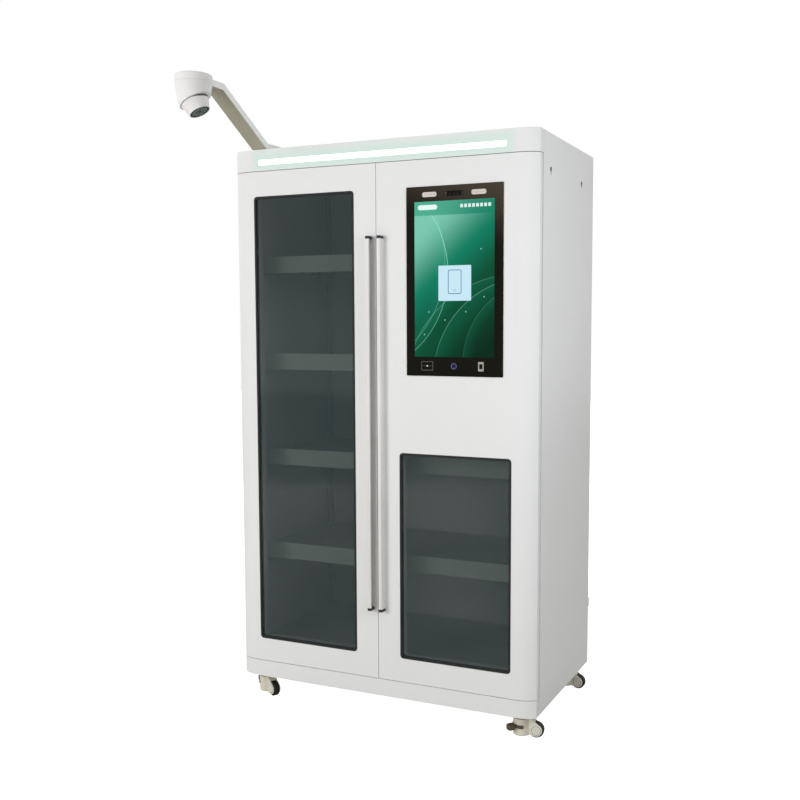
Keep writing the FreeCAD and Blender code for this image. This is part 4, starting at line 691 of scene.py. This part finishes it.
def lens_glass():
    """A dark rim, a paler disc behind it, the lens in the middle with a painted highlight ring, and small
    lamps.
    """
    material = finish("lens_window", LENS_BLACK, 0.12, drift=0.0, depth=0, Specular_IOR_Level=0.06)
    tree = material.node_tree
    across, upward = reach_along(tree, LENS_SIDE), reach_along(tree, LENS_UP)
    radius = (across.squared() + upward.squared()).root()
    colour = mix(tree, radius.ramp(0.0235, 0.0245, 1.0, 0.0), colour_of(material), DISC_GREY)
    for step in range(LAMP_COUNT):
        a = step * 2 * math.pi / LAMP_COUNT + LAMP_TURN
        place = (LAMP_CIRCLE * math.cos(a), LAMP_CIRCLE * math.sin(a))
        colour = mix(tree, inside(ring(across, upward, place) - LAMP_RADIUS, 0.0004), colour, LAMP_BLACK)
    colour = mix(tree, radius.ramp(0.0115, 0.0125, 1.0, 0.0), colour, PUPIL_BLACK)
    # A pale ring on the lens is a painted highlight.
    shine = inside((radius - 0.0075).size() - 0.0012, 0.0003)
    return repaint(material, mix(tree, shine, colour, PAINTED_HIGHLIGHT_GREY))


def arm_coat_painted_light():
    """Painted light and shade: a white brighter than the cabinet's, and dark warm brown on the underside."""
    material = finish("arm_coat_painted_light", ARM_LIT_WHITE, 0.42, drift=0.02, **SPRAYED)
    tree = material.node_tree
    # Painted shade: the underside of the bar turns a darker warm brown.
    shaded_underside = facing_up(tree).ramp(-0.5, -0.2, 1.0, 0.0)
    return repaint(material, mix(tree, shaded_underside, colour_of(material), ARM_UNDERSIDE_SHADE))


dress(camera_coat("camera_shell"), "camera_cap", "camera_turret")
dress(shadow_gap(), "camera_eyeball")
dress(lens_glass(), "camera_lens")
dress(arm_coat_painted_light(), "camera_arm")

# %% [markdown]
# ## Locks, pivots and casters
# Plain hardware: zinc-plated steel where nobody looks, painted caster housings under plates painted dark as
# the shade under the cabinet, black tyres and brown levers.

# %% Hardware finishes
CASTERS = ["front_left", "front_right", "rear_left", "rear_right"]
zinc = finish("zinc_plate", (0.45, 0.45, 0.44), 0.36, metallic=1.0, drift=0.12, grain=300, depth=0.00004)
caster_paint = finish("caster_paint", (0.74, 0.69, 0.58), 0.4, drift=0.06, grain=700, depth=0.00008)
tyre_rubber = finish("tyre_rubber", (0.012, 0.011, 0.010), 0.7, drift=0.2, grain=1500, depth=0.00008)
wheel_plastic = finish("wheel_plastic", (0.72, 0.70, 0.66), 0.45, drift=0.05, grain=1200, depth=0.00005)
plate_painted_shade = finish("plate_painted_shade", (0.045, 0.05, 0.046), 0.5, drift=0.15, grain=700, depth=0.00008)
lever_plastic = finish("lever_plastic", (0.095, 0.07, 0.052), 0.45, drift=0.1, grain=1500, depth=0.00005)
dress(zinc, "door_pivots", "lock_housing", "lock_bolts")
# The caster plates are dark as painted shade: they sit in the shadow under the cabinet.
dress(plate_painted_shade, "caster_plates")
for corner in CASTERS:
    dress(caster_paint, f"{corner}_caster")
    dress(tyre_rubber, f"{corner}_tyre")
    dress(wheel_plastic, f"{corner}_hub")
    dress(zinc, f"{corner}_foot")
    dress(lever_plastic, f"{corner}_lever")

# %% [markdown]
# ## Covers and sleeves on the casters
# Each wheel's axle has a ringed cover on both cheeks, and each lever carries a thick soft sleeve. Both follow
# the direction of their own caster, which is read from the solids.

# %% Turned and rounded pieces
def add_piece(name, points, faces, material, body):
    mesh = bpy.data.meshes.new(name)
    mesh.from_pydata(points, [], faces)
    mesh.materials.append(material)
    item = bpy.data.objects.new(name, mesh)
    bpy.context.scene.collection.objects.link(item)
    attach(item, body)


def turned(outline, place, axis, steps=40):
    """Points and faces of a closed outline of (radius, height) pairs turned round an axis."""
    axis = Vector(axis).normalized()
    first = axis.orthogonal().normalized()
    second = axis.cross(first)
    count = len(outline)
    points, faces = [], []
    for step in range(steps):
        a = 2 * math.pi * step / steps
        outward = first * math.cos(a) + second * math.sin(a)
        for radius, height in outline:
            points.append(Vector(place) + outward * radius + axis * height)
        following = (step + 1) % steps
        for n in range(count):
            m = (n + 1) % count
            faces.append((step * count + n, following * count + n, following * count + m, step * count + m))
    return points, faces


def round_block(middle, along, half, corner):
    """Points and faces of a block with round corners; along is the direction of its first half length."""
    along = Vector(along).normalized()
    across = Vector((0, 0, 1)).cross(along)
    shape = bmesh.new()
    bmesh.ops.create_cube(shape, size=1)
    bmesh.ops.scale(shape, vec=[2 * part for part in half], verts=shape.verts)
    bmesh.ops.bevel(shape, geom=shape.edges[:], offset=corner, segments=4, profile=0.5, affect="EDGES")
    shape.verts.index_update()
    points = [Vector(middle) + along * v.co.x + across * v.co.y + Vector((0, 0, v.co.z)) for v in shape.verts]
    faces = [[v.index for v in face.verts] for face in shape.faces]
    shape.free()
    return points, faces


def centre(name):
    low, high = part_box(name)
    return (low + high) / 2


# %% Axle covers and lever sleeves
# Outlines of the cover and of a dark ring in its groove, painted shade, each as radius and height above the
# cheek.
COVER = (
    (0.0094, 0.00005), (0.0094, 0.0013), (0.0128, 0.0013), (0.0132, 0.0005), (0.0146, 0.0005),
    (0.015, 0.0013), (0.0168, 0.0013), (0.0175, 0.0006), (0.0175, 0.00005),
)
GROOVE_SHADE = ((0.0132, 0.00055), (0.0132, 0.0008), (0.0146, 0.0008), (0.0146, 0.00055))
AXLE_CAP_RADIUS, AXLE_CAP_HEIGHT = 0.0092, 0.0015
LEVER_END_SHARE = 0.9
SLEEVE_PLACE, SLEEVE_HALF, SLEEVE_CORNER = 0.0425, (0.0117, 0.0112, 0.0098), 0.005


def points_of(name):
    return [vertex.co for vertex in nodes[name].data.vertices]


def cheek_reach(corner, wheel, outward):
    """How far the outside of a cheek lies from the wheel's middle: the axle cap's end less its height."""
    cap = []
    for point in points_of(f"{corner}_caster"):
        reach = outward.dot(point - wheel)
        if (point - wheel - outward * reach).length < AXLE_CAP_RADIUS:
            cap.append(reach)
    return max(cap) - AXLE_CAP_HEIGHT


def cover_axle(corner, wheel, beside, piece, outline, coat):
    """The same turned shape on both cheeks of one caster, as one piece."""
    points, faces = [], []
    for outward in (beside, -beside):
        more, rings = turned(outline, wheel + outward * cheek_reach(corner, wheel, outward), outward)
        faces += [tuple(n + len(points) for n in face) for face in rings]
        points += more
    add_piece(f"{corner}_axle_{piece}", points, faces, coat, f"{corner}_caster")


def lever_heading(corner, swivel):
    """The level direction from the swivel axis to the far end of the lever."""
    ways = [(point.x - swivel.x, point.y - swivel.y) for point in points_of(f"{corner}_lever")]
    longest = max(math.hypot(*way) for way in ways)
    end = [way for way in ways if math.hypot(*way) > LEVER_END_SHARE * longest]
    return Vector((sum(x for x, _ in end) / len(end), sum(y for _, y in end) / len(end), 0)).normalized()


cover_coat = finish("axle_cover", (0.86, 0.84, 0.78), 0.4, drift=0.03, grain=900, depth=0.00005)
for corner in CASTERS:
    swivel, wheel = centre(f"{corner}_foot"), centre(f"{corner}_hub")
    trail = Vector((wheel.x - swivel.x, wheel.y - swivel.y, 0)).normalized()
    beside = Vector((0, 0, 1)).cross(trail)
    cover_axle(corner, wheel, beside, "covers", COVER, cover_coat)
    # A dark ring in each cover's groove is painted shade.
    cover_axle(corner, wheel, beside, "lines", GROOVE_SHADE, tyre_rubber)
    heading = lever_heading(corner, swivel)
    middle = swivel + heading * SLEEVE_PLACE
    middle.z = centre(f"{corner}_lever").z
    points, faces = round_block(middle, heading, SLEEVE_HALF, SLEEVE_CORNER)
    add_piece(f"{corner}_lever_sleeve", points, faces, lever_plastic, f"{corner}_lever")

# %% [markdown]
# ## Screens behind the vents
# Behind the vent slots of the back lie thin screens, pale inside like the cabinet and dark outside. They keep
# dust out and light from shining through.

# %% Vent screens
LOW_VENTS, HIGH_VENTS_DROP = 0.33, 0.18
VENTS_ACROSS, VENTS_HALF_HEIGHT = 0.2705, 0.0425
CLOTH_HALF_WIDTH, CLOTH_HALF_DEPTH, CLOTH_HALF_HEIGHT = 0.094, 0.0004, 0.054
CLOTH_GAP = 0.0007
CLOTH_PALE, CLOTH_DARK = (0.66, 0.68, 0.66), (0.04, 0.04, 0.04)
BOX_FACES = ((0, 1, 3, 2), (4, 6, 7, 5), (0, 4, 5, 1), (2, 3, 7, 6), (0, 2, 6, 4), (1, 5, 7, 3))
cloth_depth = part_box("back_panel")[0].y - CLOTH_GAP


def vent_cloth():
    """Pale towards the inside of the cabinet and dark towards the outside."""
    material = finish("vent_screen", CLOTH_PALE, 0.6, drift=0.1, grain=1500, depth=0.0001)
    tree = material.node_tree
    outer = coordinates(tree)[1].ramp(cloth_depth - 0.0002, cloth_depth + 0.0002)
    return repaint(material, mix(tree, outer, colour_of(material), CLOTH_DARK))


points, faces = [], []
for low in (LOW_VENTS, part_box("roof_panel")[1].z - HIGH_VENTS_DROP):
    for middle in (-VENTS_ACROSS, VENTS_ACROSS):
        faces += [tuple(n + len(points) for n in face) for face in BOX_FACES]
        points += [
            (middle + x, cloth_depth + y, low + VENTS_HALF_HEIGHT + z)
            for x in (-CLOTH_HALF_WIDTH, CLOTH_HALF_WIDTH)
            for y in (-CLOTH_HALF_DEPTH, CLOTH_HALF_DEPTH)
            for z in (-CLOTH_HALF_HEIGHT, CLOTH_HALF_HEIGHT)
        ]
add_piece("vent_screens", points, faces, vent_cloth(), "cabinet")

# %% [markdown]
# ## Screws by Geometry Nodes
# The same socket screw holds the camera arm, the caster plates and the back panel. It is made once, in a
# node tree, and set on a cloud of points that each carry the direction they face. Realize Instances at the
# end turns the copies into one plain mesh.

# %% Screw tree
HEAD_SIDES = 18
SOCKET_DEPTH_SHARE = 0.6


def screw_tree(material):
    tree = bpy.data.node_groups.new("socket_screws", "GeometryNodeTree")
    face = tree.interface
    face.new_socket("Points", in_out="INPUT", socket_type="NodeSocketGeometry")
    for name, value in (("Head Radius", 0.005), ("Head Height", 0.003), ("Socket Share", 0.5)):
        face.new_socket(name, in_out="INPUT", socket_type="NodeSocketFloat").default_value = value
    face.new_socket("Screws", in_out="OUTPUT", socket_type="NodeSocketGeometry")
    add, link = tree.nodes.new, tree.links.new
    given, result = add("NodeGroupInput"), add("NodeGroupOutput")

    # The head is a short cylinder.
    head = add("GeometryNodeMeshCylinder")
    head.inputs["Vertices"].default_value = HEAD_SIDES
    link(given.outputs["Head Radius"], head.inputs["Radius"])
    link(given.outputs["Head Height"], head.inputs["Depth"])

    # Its top is cut free in place, shrunk and pushed in, which leaves the socket.
    lid = add("GeometryNodeExtrudeMesh")
    lid.inputs["Offset Scale"].default_value = 0
    link(head.outputs["Mesh"], lid.inputs["Mesh"])
    link(head.outputs["Top"], lid.inputs["Selection"])
    shrink = add("GeometryNodeScaleElements")
    link(lid.outputs["Mesh"], shrink.inputs["Geometry"])
    link(lid.outputs["Top"], shrink.inputs["Selection"])
    link(given.outputs["Socket Share"], shrink.inputs["Scale"])
    sink = add("GeometryNodeExtrudeMesh")
    link(shrink.outputs["Geometry"], sink.inputs["Mesh"])
    link(lid.outputs["Top"], sink.inputs["Selection"])
    depth = add("ShaderNodeMath")
    depth.operation = "MULTIPLY"
    depth.inputs[1].default_value = -SOCKET_DEPTH_SHARE
    link(given.outputs["Head Height"], depth.inputs[0])
    link(depth.outputs[0], sink.inputs["Offset Scale"])

    # One screw goes on each point and turns to the direction that the point carries.
    facing = add("GeometryNodeInputNamedAttribute")
    facing.data_type = "FLOAT_VECTOR"
    facing.inputs["Name"].default_value = "facing"
    turn = add("FunctionNodeAlignRotationToVector")
    link(facing.outputs["Attribute"], turn.inputs["Vector"])
    turn.axis = "Z"
    spread = add("GeometryNodeInstanceOnPoints")
    link(given.outputs["Points"], spread.inputs["Points"])
    link(sink.outputs["Mesh"], spread.inputs["Instance"])
    link(turn.outputs["Rotation"], spread.inputs["Rotation"])

    # The copies become one plain mesh with the screws' finish.
    real = add("GeometryNodeRealizeInstances")
    link(spread.outputs["Instances"], real.inputs["Geometry"])
    paint = add("GeometryNodeSetMaterial")
    paint.inputs["Material"].default_value = material
    link(real.outputs["Geometry"], paint.inputs["Geometry"])
    link(paint.outputs["Geometry"], result.inputs["Screws"])
    return tree


def set_input(modifier, tree, name, value):
    socket = next(item for item in tree.interface.items_tree if item.name == name and item.in_out == "INPUT")
    modifier[socket.identifier] = value


def screws(name, body, tree, places, **sizes):
    """Screws on places, each a point and the direction its head faces, as one plain mesh."""
    mesh = bpy.data.meshes.new(name)
    mesh.from_pydata([place for place, _ in places], [], [])
    facing = mesh.attributes.new("facing", "FLOAT_VECTOR", "POINT")
    facing.data.foreach_set("vector", [part for _, way in places for part in way])
    item = bpy.data.objects.new(name, mesh)
    bpy.context.scene.collection.objects.link(item)
    modifier = item.modifiers.new("screws", "NODES")
    modifier.node_group = tree
    for size, value in sizes.items():
        set_input(modifier, tree, size.replace("_", " "), value)
    graph = bpy.context.evaluated_depsgraph_get()
    plain = bpy.data.meshes.new_from_object(item.evaluated_get(graph))
    item.modifiers.clear()
    item.data = plain
    bpy.data.meshes.remove(mesh)
    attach(item, body)
    print(name, len(places), "screws,", len(plain.polygons), "faces")


# %% Screws on the arm, the back and the caster plates
UP, DOWN, BACK = (0, 0, 1), (0, 0, -1), (0, 1, 0)
ARM_HEAD = {"Head_Radius": 0.0055, "Head_Height": 0.003}
BACK_HEAD = {"Head_Radius": 0.004, "Head_Height": 0.002}
PLATE_HEAD = {"Head_Radius": 0.005, "Head_Height": 0.003}
ARM_FOOT_THICKNESS, ARM_SCREWS_ACROSS, ARM_SCREWS_FROM_REAR = 0.02, (0.014, 0.042), (0.02, 0.09)
BACK_ROWS, BACK_MARGIN, BACK_INSET = 7, 0.04, 0.010
PLATE_ACROSS, PLATE_SIZE, PLATE_THICKNESS, PLATE_SCREW_OFFSET = 0.478, 0.07, 0.006, 0.027

socket_screw = screw_tree(finish("screw_steel", (0.3, 0.3, 0.3), 0.32, metallic=1.0, drift=0.1, depth=0))

arm_low, arm_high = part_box("camera_arm")
roof_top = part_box("roof_panel")[1].z
level = roof_top + ARM_FOOT_THICKNESS + ARM_HEAD["Head_Height"] / 2
arm_points = [((arm_low.x + across, arm_high.y - back, level), UP)
              for across in ARM_SCREWS_ACROSS for back in ARM_SCREWS_FROM_REAR]
screws("arm_screws", "cabinet", socket_screw, arm_points, **ARM_HEAD)

back_low, back_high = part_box("back_panel")
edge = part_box("right_side_panel")[1]
row_pitch = (back_high.z - back_low.z - 2 * BACK_MARGIN) / (BACK_ROWS - 1)
back_points = []
for row in range(BACK_ROWS):
    level = back_low.z + BACK_MARGIN + row * row_pitch
    for side in (-1, 1):
        place = (side * (edge.x - BACK_INSET), edge.y + BACK_HEAD["Head_Height"] / 2, level)
        back_points.append((place, BACK))
screws("back_screws", "cabinet", socket_screw, back_points, **BACK_HEAD)

plate_low, plate_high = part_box("caster_plates")
level = plate_high.z - PLATE_THICKNESS - PLATE_HEAD["Head_Height"] / 2
offsets = (-PLATE_SCREW_OFFSET, PLATE_SCREW_OFFSET)
caster_points = []
for side in (-1, 1):
    for depth in (plate_low.y + PLATE_SIZE / 2, plate_high.y - PLATE_SIZE / 2):
        caster_points += [((side * PLATE_ACROSS + across, depth + along, level), DOWN)
                          for across in offsets for along in offsets]
screws("caster_screws", "cabinet", socket_screw, caster_points, **PLATE_HEAD)

# %% Sizes
seen_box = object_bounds()
grown = [max(cad_box[0][axis] - seen_box[0][axis], seen_box[1][axis] - cad_box[1][axis]) for axis in range(3)]
print("grown by", [round(size, 5) for size in grown])
